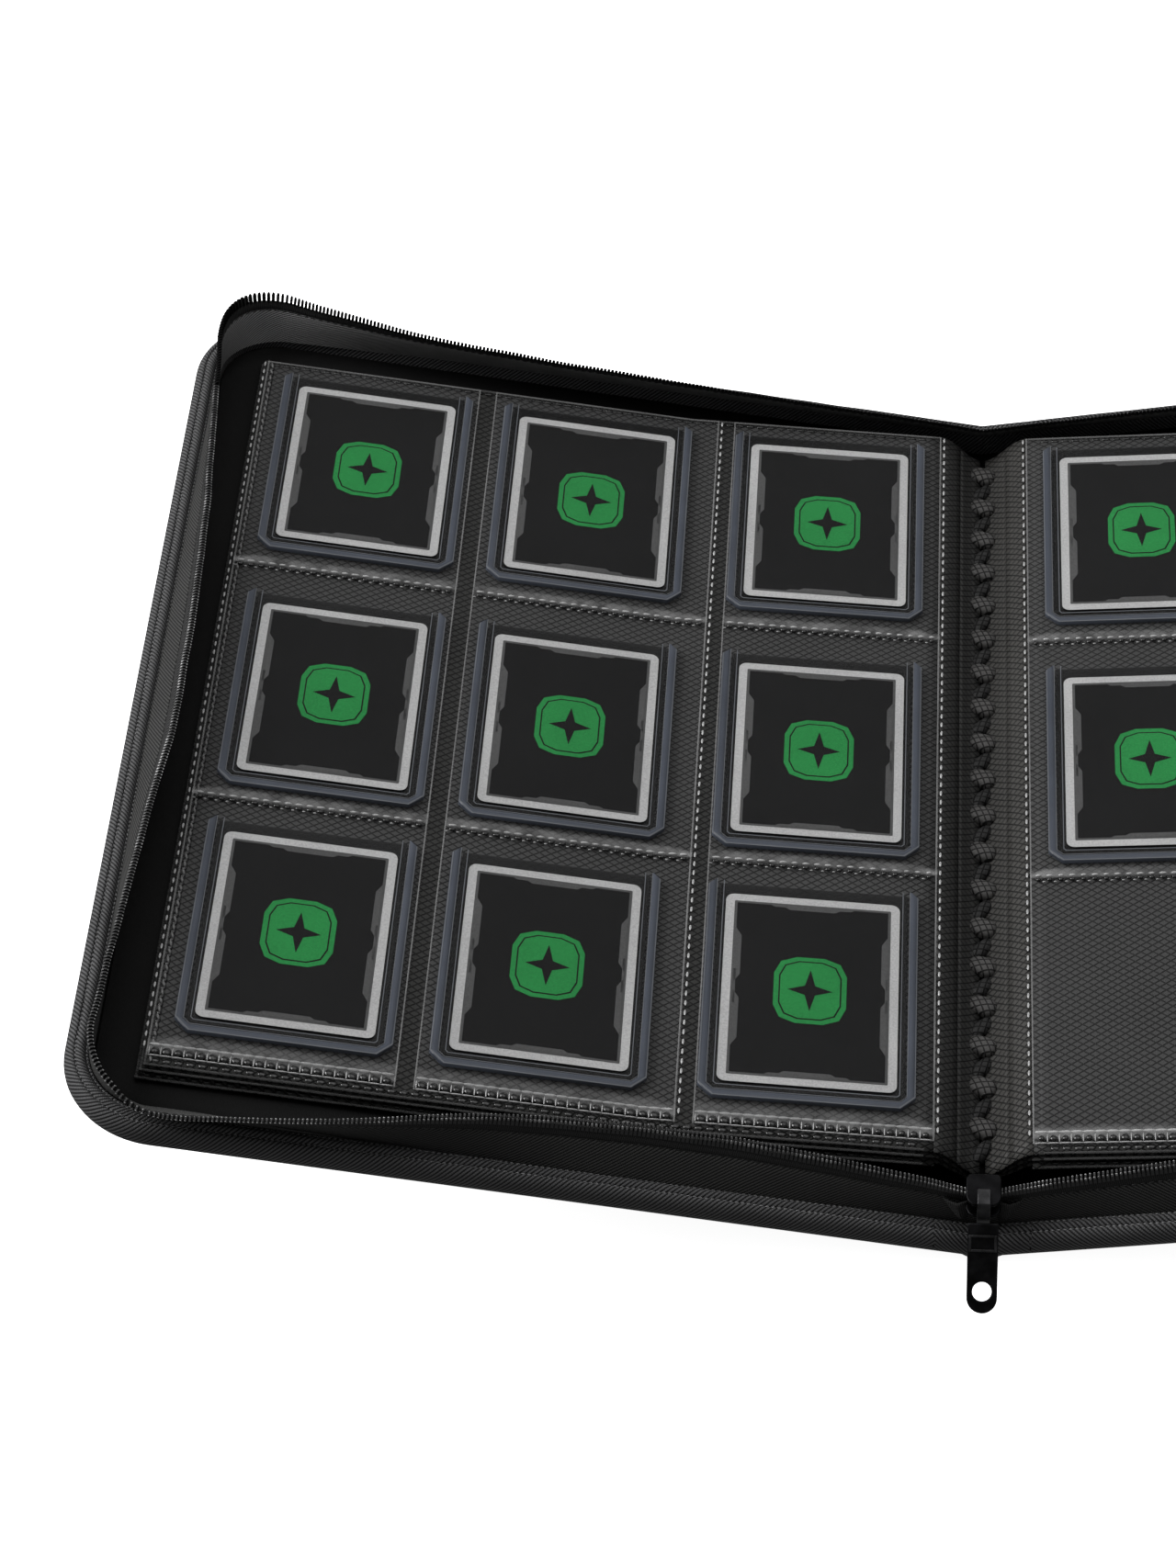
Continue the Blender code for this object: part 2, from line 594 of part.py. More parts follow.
def main():
    clear_scene()
    materials = make_materials()
    meshes = {"sleeve": make_sleeve(), "card": make_card()}
    make_spine(materials)
    make_half(-1, "front", 1, 3, materials, meshes)
    make_half(1, "back", 4, 2, materials, meshes)
    slider = make_slider(materials)
    make_bridge(materials, slider)
    make_pull(materials)


main()
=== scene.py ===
import math

import bmesh
import bpy
import numpy as np
from mathutils import Matrix, Vector, noise


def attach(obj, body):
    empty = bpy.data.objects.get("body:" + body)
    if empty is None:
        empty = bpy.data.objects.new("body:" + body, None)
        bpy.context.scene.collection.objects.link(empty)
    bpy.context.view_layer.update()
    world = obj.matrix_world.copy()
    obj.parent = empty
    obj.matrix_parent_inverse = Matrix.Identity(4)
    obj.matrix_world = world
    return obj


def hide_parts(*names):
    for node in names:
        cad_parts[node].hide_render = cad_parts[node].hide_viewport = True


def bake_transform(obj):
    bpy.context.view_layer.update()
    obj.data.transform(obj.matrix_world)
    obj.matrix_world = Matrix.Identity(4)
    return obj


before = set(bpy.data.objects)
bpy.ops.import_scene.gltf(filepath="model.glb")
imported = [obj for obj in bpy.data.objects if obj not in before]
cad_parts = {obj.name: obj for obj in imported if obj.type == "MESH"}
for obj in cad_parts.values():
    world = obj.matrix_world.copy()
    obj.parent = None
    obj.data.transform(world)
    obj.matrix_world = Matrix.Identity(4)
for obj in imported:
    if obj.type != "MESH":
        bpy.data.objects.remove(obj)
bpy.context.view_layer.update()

scene = bpy.context.scene
scene.view_settings.view_transform = "Standard"


studio = {
    "lens": 97.73,
    "eye": (-0.0395, -1.1124, 1.1736),
    "yaw": -5.611,
    "down": 46.121,
    "roll": -2.693,
    "floor": (0.92, 0.92, 0.92),
    "ambient": 0.25,
    "floorGlow": 0.9,
    "floorRough": 0.9,
    "floorSize": 14,
    "keyLight": 112,
    "overhead": 24,
    "backLight": 6,
}


def makeCamera():
    yaw, down, roll = (math.radians(studio[key]) for key in ("yaw", "down", "roll"))
    ahead = Vector((math.sin(yaw) * math.cos(down), math.cos(yaw) * math.cos(down), -math.sin(down)))
    level = Vector((math.cos(yaw), -math.sin(yaw), 0.0))
    right = level * math.cos(roll) + level.cross(ahead) * math.sin(roll)
    up = right.cross(ahead)
    data = bpy.data.cameras.new("camera")
    data.sensor_width, data.lens = 36, studio["lens"]
    data.clip_start, data.clip_end = 0.05, 50
    camera = bpy.data.objects.new("camera", data)
    scene.collection.objects.link(camera)
    turn = Matrix((right, up, -ahead)).transposed().to_4x4()
    camera.matrix_world = Matrix.Translation(studio["eye"]) @ turn
    scene.camera = camera


def makeAreaLight(name, place, aim, size, power):
    data = bpy.data.lights.new(name, "AREA")
    data.shape, data.size, data.size_y, data.energy = "RECTANGLE", size[0], size[1], power
    lamp = bpy.data.objects.new(name, data)
    scene.collection.objects.link(lamp)
    lamp.location = place
    lamp.rotation_euler = (Vector(aim) - Vector(place)).to_track_quat("-Z", "Y").to_euler()


def makeStudio():
    world = bpy.data.worlds.new("studio")
    world.use_nodes = True
    world.node_tree.nodes["Background"].inputs[0].default_value = (1, 1, 1, 1)
    world.node_tree.nodes["Background"].inputs[1].default_value = studio["ambient"]
    scene.world = world
    makeAreaLight("keyLight", (-2.3, 0.5, 1.5), (0, 0, 0), (1.6, 2.0), studio["keyLight"])
    makeAreaLight("overhead", (0.2, 0.5, 2.4), (0, 0, 0), (2.6, 1.6), studio["overhead"])
    makeAreaLight("backLight", (0.6, 2.4, 1.0), (0, 0, 0), (2.2, 1.0), studio["backLight"])
    bpy.ops.mesh.primitive_grid_add(x_subdivisions=2, y_subdivisions=2, size=studio["floorSize"],
                                    location=(0, 0, -0.0005))
    floor = bpy.context.object
    floor.name = "floor"
    paper = bpy.data.materials.new("paleFloor")
    paper.use_nodes = True
    sockets = paper.node_tree.nodes["Principled BSDF"].inputs
    sockets["Base Color"].default_value = (*studio["floor"], 1)
    sockets["Roughness"].default_value = studio["floorRough"]
    sockets["Emission Color"].default_value = (1, 1, 1, 1)
    sockets["Emission Strength"].default_value = studio["floorGlow"]
    floor.data.materials.append(paper)
    floor.visible_diffuse = floor.visible_glossy = False  # it takes the shadow and throws no light back


makeCamera()
makeStudio()
print("studio ready")


def linear(value):
    value /= 255
    return value / 12.92 if value <= 0.04045 else ((value + 0.055) / 1.055) ** 2.4


def tone(red, green=None, blue=None, share=0.8):
    # the surface colour that looks like this on screen under the studio's light
    shades = (red, red, red) if green is None else (red, green, blue)
    return tuple(linear(shade) * share for shade in shades)


class Wire:
    # one output of a node; sums written on it add Math nodes
    def __init__(self, finish, socket):
        self.finish, self.socket = finish, socket

    def sum(self, operation, first, second=None):
        values = {i: value for i, value in enumerate((first, second)) if value is not None}
        return self.finish.node("Math", {"operation": operation}, values)

    def __add__(self, other): return self.sum("ADD", self, other)
    def __radd__(self, other): return self.sum("ADD", other, self)
    def __sub__(self, other): return self.sum("SUBTRACT", self, other)
    def __rsub__(self, other): return self.sum("SUBTRACT", other, self)
    def __mul__(self, other): return self.sum("MULTIPLY", self, other)
    def __rmul__(self, other): return self.sum("MULTIPLY", other, self)
    def __truediv__(self, other): return self.sum("DIVIDE", self, other)
    def __rtruediv__(self, other): return self.sum("DIVIDE", other, self)
    def __abs__(self): return self.sum("ABSOLUTE", self)
    def fract(self): return self.sum("FRACT", self)
    def least(self, other): return self.sum("MINIMUM", self, other)

    def step(self, low, high):
        # 0 below low, 1 above high, eased between
        eased = {"interpolation_type": "SMOOTHSTEP"}
        return self.finish.node("MapRange", eased, {0: self, 1: low, 2: high})

    def ridge(self):
        # 0 at whole numbers, 1 half way between
        return 1 - abs(self.fract() * 2 - 1)


class Finish:
    # one material: a Principled shader and the nodes that feed it
    def __init__(self, name, **plain):
        self.material = bpy.data.materials.new(name)
        self.material.use_nodes = True
        self.tree = self.material.node_tree
        self.shader = self.tree.nodes["Principled BSDF"]
        self.feed(self.shader, {key.replace("_", " "): value for key, value in plain.items()})

    def node(self, kind, settings=None, sockets=None, out=0):
        made = self.tree.nodes.new("ShaderNode" + kind)
        for key, value in (settings or {}).items():
            setattr(made, key, value)
        self.feed(made, sockets or {})
        return Wire(self, made.outputs[out])

    def feed(self, made, sockets):
        for key, value in sockets.items():
            if isinstance(value, Wire):
                self.tree.links.new(value.socket, made.inputs[key])
            elif isinstance(value, tuple) and len(value) == 3 and made.inputs[key].type == "RGBA":
                made.inputs[key].default_value = (*value, 1)
            else:
                made.inputs[key].default_value = value

    def cloth(self):
        # the flat pattern's two lengths, in millimetres
        flat = self.node("UVMap", {"uv_map": "cloth"})
        split = self.node("SeparateXYZ", None, {0: flat})
        return split * 1000, Wire(self, split.socket.node.outputs[1]) * 1000

    def place(self):
        return self.node("TexCoord", None, None, 3)

    def noise(self, scale, detail=3.0, vector=None, rough=0.55):
        return self.node("TexNoise", None, {
            "Vector": vector or self.place(), "Scale": scale, "Detail": detail, "Roughness": rough})

    def mix(self, share, first, second):
        return self.node("Mix", {"data_type": "RGBA"}, {0: share, 6: first, 7: second}, 2)

    def colour(self, wire):
        self.feed(self.shader, {"Base Color": wire})

    def rough(self, wire):
        self.feed(self.shader, {"Roughness": wire})

    def alpha(self, wire):
        self.feed(self.shader, {"Alpha": wire})

    def bump(self, height, distance):
        # height runs from 0 to 1 and distance is its real depth in metres
        relief = {"Height": height, "Strength": 1.0, "Distance": distance}
        self.feed(self.shader, {"Normal": self.node("Bump", None, relief)})
        return self


weave = {  # lengths in millimetres, tones as they look on screen
    "shellRib": 1.8, "wallRib": 1.8, "tapeRib": 0.7, "diamond": 3.05,
    "shellTone": (8, 8, 9), "shellLight": (92, 92, 93),
    "wallTone": (8, 8, 8), "wallLight": (64, 64, 63),
    "backingTone": (10, 10, 10), "backingLight": (50, 50, 49),
    # painted light: the inner wall's tones are paler than the outer wall's to stand for light on the inside
    # face, and paler again along the far side
    "innerTone": (40, 40, 40), "innerLight": (84, 84, 83), "innerFarLit": (74, 150), "litFarFrom": (600, 720),
    "veil": (22, 66), "channels": (201.8, 104.8), "channelHalf": (2.9, 3.4), "filmStart": (17.6, 18.2),
    "filmHead": (183.0, 184.0), "filmHem": (-182.0, -181.0),
}


def ribbed(name, dark, light, pitch, slope, depth, rough, farLitTones=None):
    # diagonal twill: rounded ribs that break where the cross threads pass under
    finish = Finish(name, Specular_IOR_Level=0.16, Sheen_Weight=0.03, Sheen_Roughness=0.5)
    along, across = finish.cloth()
    rib = ((along + across * slope) / pitch).ridge()
    cross = ((along * slope - across) / (pitch * 0.62)).ridge()
    fuzz = finish.noise(2600.0, 2.0)
    wear = finish.noise(45.0, 4.0)
    height = rib.step(0.05, 0.75) * (0.72 + cross * 0.28)
    shade = (height * 0.75 + fuzz * 0.3 + wear * 0.25 - 0.2).step(0.0, 1.0)
    cloth = finish.mix(shade, tone(*dark), tone(*light))
    if farLitTones:
        # painted light: along the far side the cloth is mixed to paler tones where that face is lit
        paler = finish.mix(shade, *(tone(part) for part in farLitTones))
        cloth = finish.mix(along.step(*weave["litFarFrom"]), cloth, paler)
    finish.colour(cloth)
    finish.rough(rough + fuzz * 0.12 - height * 0.08)
    return finish.bump(height + fuzz * 0.12, depth)


def makeShellFinish():
    return ribbed("shellTwill", weave["shellTone"], weave["shellLight"], weave["shellRib"],
                  1.0, 0.00028, 0.62)


def makeWallFinish():
    return ribbed("wallTwill", weave["wallTone"], weave["wallLight"], weave["wallRib"],
                  1.6, 0.00022, 0.66)


# painted light: the inner face uses paler copies of the wall cloth's tones
def makeInnerWallFinish():
    return ribbed("innerWallTwillPaintedLight", weave["innerTone"], weave["innerLight"], weave["wallRib"],
                  2.2, 0.0003, 0.7, weave["innerFarLit"])


def makeTapeFinish():
    return ribbed("zipTape", (16, 16, 16), (44, 44, 44), weave["tapeRib"], 0.15, 0.00012, 0.6)


def makeLiningFinish():
    finish = Finish("smoothLining", Specular_IOR_Level=0.1)
    along, across = finish.cloth()
    fine = (along / 0.5).ridge() * (across / 0.5).ridge()
    cloud = finish.noise(18.0, 4.0)
    finish.colour(finish.mix(cloud.step(0.3, 0.75), tone(11), tone(19)))
    finish.rough(0.62 + cloud * 0.15)
    return finish.bump(fine * 0.6 + cloud * 0.6, 0.0001)


def makeBackingFinish(name, covered, low=weave["backingTone"], high=weave["backingLight"]):
    # a fine diamond emboss; where the film lies over it the crests look paler
    finish = Finish(name, Specular_IOR_Level=0.14)
    along, across = finish.cloth()
    pitch = weave["diamond"]
    first = ((along * 0.72 + across) / pitch).ridge()
    second = ((along * 0.72 - across) / pitch).ridge()
    crest = first.least(second).step(0.06, 0.34)
    thread = ((along * 0.72 + across) / (pitch / 5)).ridge()
    fuzz = finish.noise(1500.0, 2.0)
    cloud = finish.noise(26.0, 4.0)
    shade = (crest * 0.55 + thread * 0.22 * crest + fuzz * 0.22 + cloud * 0.3 - 0.12).step(0.0, 1.0)
    base = finish.mix(shade, tone(*low), tone(*high))
    if covered:
        farChannel, nearChannel = weave["channels"]
        bare = abs(along - farChannel).least(abs(along - nearChannel)) * 1.0
        under = (bare.step(*weave["channelHalf"]) * along.step(*weave["filmStart"])
                 * (1 - across.step(*weave["filmHead"])) * across.step(*weave["filmHem"]))
        veiled = finish.mix(shade, *(tone(part) for part in weave["veil"]))
        base = finish.mix(under, base, veiled)
    finish.colour(base)
    finish.rough(0.5 + fuzz * 0.2 - crest * 0.12)
    return finish.bump(crest + thread * 0.06 + fuzz * 0.06, 0.0002)


def makeFilmFinish(name, alpha, shade, rough):
    finish = Finish(name, Specular_IOR_Level=0.5)
    cloud = finish.noise(34.0, 5.0)
    streak = finish.noise(240.0, 3.0)
    finish.colour(finish.mix(cloud, tone(shade - 20), tone(shade + 10)))
    finish.rough(rough + streak * 0.1)
    finish.alpha((alpha * 0.7) + cloud * (alpha * 0.6))
    return finish.bump(cloud + streak * 0.15, 0.0004)


def makeCreaseHighlightFinish(name, peak, low, high):
    # puffed film over a seam: a painted highlight along its crest, fading out at both edges
    finish = Finish(name, Specular_IOR_Level=0.7)
    _, across = finish.cloth()
    patch = finish.noise(120.0, 3.0)
    crest = across.step(0.0, 0.25) * (1 - across.step(0.3, 1.0))
    finish.colour(finish.mix(patch.step(0.25, 0.7), tone(low), tone(high)))
    finish.rough(0.22 + patch * 0.2)
    finish.alpha(crest * (peak * 0.6 + patch * peak * 0.7))
    return finish.bump(patch, 0.0003)


def makePlastic(name, shade, alpha, rough):
    finish = Finish(name, Specular_IOR_Level=0.25)
    cloud = finish.noise(60.0, 4.0)
    grain = finish.noise(900.0, 2.0)
    low, high = (tone(*(max(part * gain, 1) for part in shade)) for gain in (0.94, 1.05))
    finish.colour(finish.mix(cloud, low, high))
    finish.rough(rough + cloud * 0.12)
    if alpha < 1:
        finish.alpha(alpha * 0.9 + cloud * (alpha * 0.2))
    return finish.bump(grain, 0.00004)


def makeInk(name, shade, rough=0.42):
    finish = Finish(name, Specular_IOR_Level=0.04)
    grain = finish.noise(1400.0, 3.0)
    cloud = finish.noise(30.0, 3.0)
    low, high = (tone(*(max(part * gain, 1) for part in shade)) for gain in (0.9, 1.08))
    finish.colour(finish.mix((grain * 0.7 + cloud * 0.3).step(0.25, 0.75), low, high))
    finish.rough(rough + grain * 0.1)
    return finish.bump(grain, 0.00002)


def makeMetal(name, shade, rough):
    finish = Finish(name, Metallic=1.0)
    brushed = finish.noise(700.0, 3.0)
    worn = finish.noise(130.0, 4.0)
    low, high = tone(*(part * 0.8 for part in shade)), tone(*(part * 1.5 for part in shade))
    finish.colour(finish.mix(worn.step(0.35, 0.75), low, high))
    finish.rough(rough + worn * 0.18 + brushed * 0.06)
    return finish.bump(brushed, 0.00002)


def makeThread(name, shade, rough=0.45):
    finish = Finish(name, Specular_IOR_Level=0.5)
    ply = finish.noise(3000.0, 2.0)
    finish.colour(finish.mix(ply, tone(*(part * 0.7 for part in shade)), tone(*shade)))
    finish.rough(rough + ply * 0.15)
    return finish.bump(ply, 0.00005)


finishes = {
    "shell": makeShellFinish(),
    "wall": makeWallFinish(),
    "innerWall": makeInnerWallFinish(),
    "tape": makeTapeFinish(),
    "lining": makeLiningFinish(),
    "backing": makeBackingFinish("diamondBacking", False),
    "pageBacking": makeBackingFinish("pageBacking", True),
    "pocketSide": makeBackingFinish("pocketSide", False),
    # painted light: the gutter's right half takes a lit copy of the backing and its left half a shaded copy
    "gutterLit": makeBackingFinish("gutterLit", False, (12, 12, 12), (62, 61, 59)),
    "gutterShaded": makeBackingFinish("gutterShaded", False, (20, 20, 20), (60, 60, 59)),
    # painted light: the lace's raised turns take a lit copy of the backing and its sunken turns a shaded
    # copy
    "laceLit": makeBackingFinish("laceLit", False, (12, 12, 12), (80, 79, 78)),
    "laceShaded": makeBackingFinish("laceShaded", False, (8, 8, 8), (46, 46, 46)),
    "bindingBase": makeInk("bindingBase", (14, 14, 14), 0.7),
    "film": makeFilmFinish("pocketFilm", 0.005, 190, 0.2),
    "filmEdge": makeFilmFinish("filmEdge", 0.3, 180, 0.25),
    "pageEdge": makeFilmFinish("pageEdge", 0.4, 84, 0.35),
    # painted shade: the lower pages' edge stitches use this dimmer copy of the pale thread
    "shadedThread": makeThread("shadedThread", (58, 58, 58)),
    # painted highlights where the film is puffed over its stitched lines
    "rowCreaseHighlight": makeCreaseHighlightFinish("rowCreaseHighlight", 0.45, 80, 170),
    "hemCreaseHighlight": makeCreaseHighlightFinish("hemCreaseHighlight", 0.34, 110, 170),
    "sleeveBand": makePlastic("sleeveBand", (66, 71, 81), 0.88, 0.32),
    "sleeveClear": makePlastic("sleeveClear", (150, 160, 175), 0.003, 0.15),
    "sleeveLine": makePlastic("sleeveLine", (104, 107, 112), 0.75, 0.25),
    # painted shade: a dark sheet inside each sleeve around the card
    "sleevePaintedShade": makePlastic("sleevePaintedShade", (10, 10, 10), 0.8, 0.35),
    "silverInk": makeInk("silverInk", (172, 172, 172), 0.34),
    "greyInk": makeInk("greyInk", (78, 78, 78)),
    "fieldInk": makeInk("fieldInk", (26, 26, 26)),
    "greenInk": makeInk("greenInk", (41, 126, 66)),
    "board": makeInk("greyBoard", (105, 98, 90), 0.85),
    "metal": makeMetal("blackSlider", (20, 20, 21), 0.3),
    "bridgeMetal": makeMetal("bridgeMetal", (52, 52, 53), 0.3),
    "pullMetal": makeMetal("pullMetal", (26, 26, 27), 0.3),
    "teeth": makeThread("zipTeeth", (14, 14, 15), 0.34),
    # the tooth heads are a paler metal: partly the metal's own colour, partly a painted highlight
    "teethHeadHighlight": makeMetal("zipTeethHeadHighlights", (118, 118, 118), 0.28),
    # painted shade: flat black for the far row of teeth, seen against the light
    "teethPaintedShade": makeInk("zipTeethPaintedShade", (6, 6, 6)),
    "paleThread": makeThread("paleThread", (120, 120, 120)),
    "rimThread": makeThread("rimThread", (150, 150, 151)),
    "darkThread": makeThread("darkThread", (14, 14, 14), 0.3),
    "glossBead": makeThread("glossBead", (20, 20, 20), 0.12),
    # pale beads: stitch dots along the films' sewn edges, and painted highlights on the film puffed over
    # the seams
    "filmStitchAndHighlight": makeThread("filmStitchAndHighlight", (196, 196, 196), 0.2),
}
print("finishes ready")


def smooth(t):
    t = min(max(t, 0.0), 1.0)
    return t * t * (3 - 2 * t)


def addPiece(name, points, faces, finishNames, flat=None, slots=None, sharp=40):
    mesh = bpy.data.meshes.new(name)
    mesh.from_pydata([tuple(map(float, point)) for point in points], [], faces)
    for key in finishNames:
        mesh.materials.append(finishes[key].material)
    if slots is not None:
        mesh.polygons.foreach_set("material_index", slots)
    mesh.polygons.foreach_set("use_smooth", [True] * len(mesh.polygons))
    if flat is not None:
        layer = mesh.uv_layers.new(name="cloth")
        corners = np.zeros(len(mesh.loops), np.int32)
        mesh.loops.foreach_get("vertex_index", corners)
        layer.data.foreach_set("uv", np.asarray(flat, np.float32)[corners].ravel())
    mesh.set_sharp_from_angle(angle=math.radians(sharp))
    piece = bpy.data.objects.new(name, mesh)
    scene.collection.objects.link(piece)
    return piece


def sheetFaces(rows, columns, wrap=False, start=0):
    faces = []
    for i in range(rows - 1):
        for j in range(columns if wrap else columns - 1):
            k = (j + 1) % columns
            faces.append((start + i * columns + j, start + i * columns + k,
                          start + (i + 1) * columns + k, start + (i + 1) * columns + j))
    return faces


def addSheet(name, grid, flat, finishNames, slots=None, sharp=50):
    rows, columns = len(grid), len(grid[0])
    points = [point for row in grid for point in row]
    coordinates = [pair for row in flat for pair in row]
    faces = sheetFaces(rows, columns)
    faceSlots = None
    if slots:
        faceSlots = [slots[j] for _ in range(rows - 1) for j in range(columns - 1)]
    return addPiece(name, points, faces, finishNames, coordinates, faceSlots, sharp)


def thicken(piece, depth, offset):
    solid = piece.modifiers.new("thickness", "SOLIDIFY")
    solid.thickness, solid.offset, solid.use_even_offset = depth, offset, False
    return piece


def beadShape(around, along):
    # a unit ball, long axis on X
    points, faces = [(-1.0, 0.0, 0.0)], []
    for i in range(1, along):
        angle = math.pi * i / along
        for j in range(around):
            turn = 2 * math.pi * j / around
            points.append((-math.cos(angle), math.sin(angle) * math.cos(turn),
                           math.sin(angle) * math.sin(turn)))
    points.append((1.0, 0.0, 0.0))
    last = len(points) - 1
    for j in range(around):
        k = (j + 1) % around
        faces.append((0, 1 + k, 1 + j))
        for i in range(along - 2):
            a, b = 1 + i * around, 1 + (i + 1) * around
            faces.append((a + j, a + k, b + k, b + j))
        a = 1 + (along - 2) * around
        faces.append((a + j, a + k, last))
    return np.array(points), faces


def addBeads(name, beads, finishNames, shape):
    # beads: (centre, along, up, half length, half width, half height)
    unit, unitFaces = shape
    points, faces = [], []
    for n, (centre, along, up, length, width, height) in enumerate(beads):
        t = np.array(along, float)
        t /= np.linalg.norm(t)
        u = np.array(up, float)
        b = np.cross(u, t)
        b /= np.linalg.norm(b)
        u = np.cross(t, b)
        start = n * len(unit)
        points.append(np.array(centre) + unit[:, :1] * length * t
                      + unit[:, 1:2] * width * b + unit[:, 2:] * height * u)
        faces += [tuple(start + i for i in face) for face in unitFaces]
    return addPiece(name, np.concatenate(points), faces, finishNames, sharp=60)


shell = {
    "tilt": math.radians(9.5), "reach": 0.321, "half": 0.212, "corner": 0.034, "level": 0.0055,
    "start": 0.0165, "foldEnd": 0.027, "wrinkle": 0.0003, "nearSide": 0.0168,
    "stitches": (0.0036, 0.0076), "stitchPitch": 0.0021, "backStitch": 0.0065, "backPitch": 0.0034,
}


def onCover(side, u, v, h):
    # near the spine the cover's layers stand straight up instead of leaning with it
    lean = h * math.sin(shell["tilt"]) * smooth(u / 0.03)
    return (side * (u * math.cos(shell["tilt"]) - lean), v,
            shell["level"] + u * math.sin(shell["tilt"]) + h * math.cos(shell["tilt"]))


def coverPath(start, inset, step=0.006, turns=12):
    # along, across, outward direction and distance, from the near side round to the far side
    radius = shell["corner"] - inset
    reach, half = shell["reach"] - shell["corner"], shell["half"] - shell["corner"]
    edge, path = half + radius, []
    run = max(2, round((reach - start) / step))
    for i in range(run):
        path.append((start + (reach - start) * i / run, -edge, 0.0, -1.0))
    for i in range(turns + 1):
        angle = math.pi / 2 * (i / turns - 1)
        a, b = math.cos(angle), math.sin(angle)
        path.append((reach + radius * a, -half + radius * b, a, b))
    rise = round(2 * half / step)
    for i in range(1, rise):
        path.append((reach + radius, -half + 2 * half * i / rise, 1.0, 0.0))
    for i in range(turns + 1):
        angle = math.pi / 2 * i / turns
        a, b = math.cos(angle), math.sin(angle)
        path.append((reach + radius * a, half + radius * b, a, b))
    for i in range(1, run + 1):
        path.append((reach + (start - reach) * i / run, edge, 0.0, 1.0))
    gone, measured = start, []
    for i, (u, v, a, b) in enumerate(path):
        if i:
            gone += math.dist((u, v), path[i - 1][:2])
        measured.append((u, v, a, b, gone))
    return measured


rimProfile = (
    (0.0100, -0.0055), (0.0075, -0.0055), (0.0050, -0.0055), (0.0032, -0.0054), (0.0018, -0.0050),
    (0.0008, -0.0040), (0.0002, -0.0027), (0.0000, -0.0013), (0.0000, 0.0002), (0.0003, 0.0018),
    (0.0010, 0.0033), (0.0020, 0.0044), (0.0029, 0.0048), (0.0033, 0.0046), (0.0036, 0.0041),
    (0.0039, 0.0046), (0.0046, 0.0052), (0.0056, 0.0055), (0.0066, 0.0052), (0.0072, 0.0046),
    (0.0076, 0.0040), (0.0080, 0.0044), (0.0085, 0.0041), (0.0089, 0.0028), (0.0094, 0.0006),
    (0.0098, -0.0020), (0.0100, -0.0042),
)


def profileLengths(profile):
    gone = [0.0]
    for first, second in zip(profile, profile[1:]):
        gone.append(gone[-1] + math.dist(first, second))
    return gone


def puff(place, size, share):
    return noise.noise(Vector(place) * size) * share


def addRide(piece, body, slotName, *nodes):
    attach(piece, body)
    return finishPiece(piece, slotName, nodes)


def addBend(piece, bodies, start, end, slotName, *nodes):
    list(bodies)
    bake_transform(piece)
    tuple(start)
    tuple(end)
    return finishPiece(piece, slotName, nodes)


def finishPiece(piece, slotName, nodes):
    if nodes:
        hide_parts(*nodes)
    return piece


def repaint(node, finishName):
    # a CAD part that stays in view takes a better material
    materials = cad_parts[node].data.materials
    materials.clear()
    materials.append(finishes[finishName].material)


def panelRows(side, start, inset, height, columns=30):
    # rungs from the near side to the far side; the last one is the outer side
    path = coverPath(start, inset, 0.008, 8)
    half = [point for point in path if point[1] <= -(shell["half"] - shell["corner"]) + 1e-9]
    points, flat = [], []
    for u, v, *_ in half:
        row = [v - 2 * v * j / columns for j in range(columns + 1)]
        points.append([onCover(side, u, y, height(u, y)) for y in row])
        flat.append([(u, y) for y in row])
    return points, flat


def joinSheets(name, sheets, finishNames):
    # several grids as one mesh: each is (points, flat, material slot)
    points, flat, faces, slots = [], [], [], []
    for grid, coordinates, slot in sheets:
        rows, columns = len(grid), len(grid[0])
        faces += sheetFaces(rows, columns, False, len(points))
        slots += [slot] * ((rows - 1) * (columns - 1))
        points += [point for row in grid for point in row]
        flat += [pair for row in coordinates for pair in row]
    piece = addPiece(name, points, faces, finishNames, flat, slots, 55)
    tidy = bmesh.new()
    tidy.from_mesh(piece.data)
    bmesh.ops.remove_doubles(tidy, verts=tidy.verts, dist=0.00001)
    tidy.to_mesh(piece.data)
    tidy.free()
    return piece


def makeShellCover(side, word):
    lengths = profileLengths(rimProfile)
    grid, flat = [], []
    for u, v, a, b, gone in coverPath(shell["start"], 0.0, 0.004, 18):
        row = []
        for inset, h in rimProfile:
            swell = puff((gone * 1.0, inset * 3, side), 60, shell["wrinkle"]) if h > 0.001 else 0.0
            row.append(onCover(side, u - a * inset, v - b * inset, h + swell))
        grid.append(row)
        flat.append([(gone, length) for length in lengths])
    panel, panelFlat = panelRows(side, shell["start"], 0.0092, lambda u, v: -0.00547)
    piece = joinSheets(word + "ShellPadding", [(grid, flat, 0), (panel, panelFlat, 0)], ["shell"])
    ends = ((side * shell["start"], 0, 0.008), (side * shell["foldEnd"], 0, 0.010))
    addBend(piece, ("spine", word + "_cover"), *ends, "shell_fabric", word + "_cover_skin")
    makeRimStitches(side, word, ends)


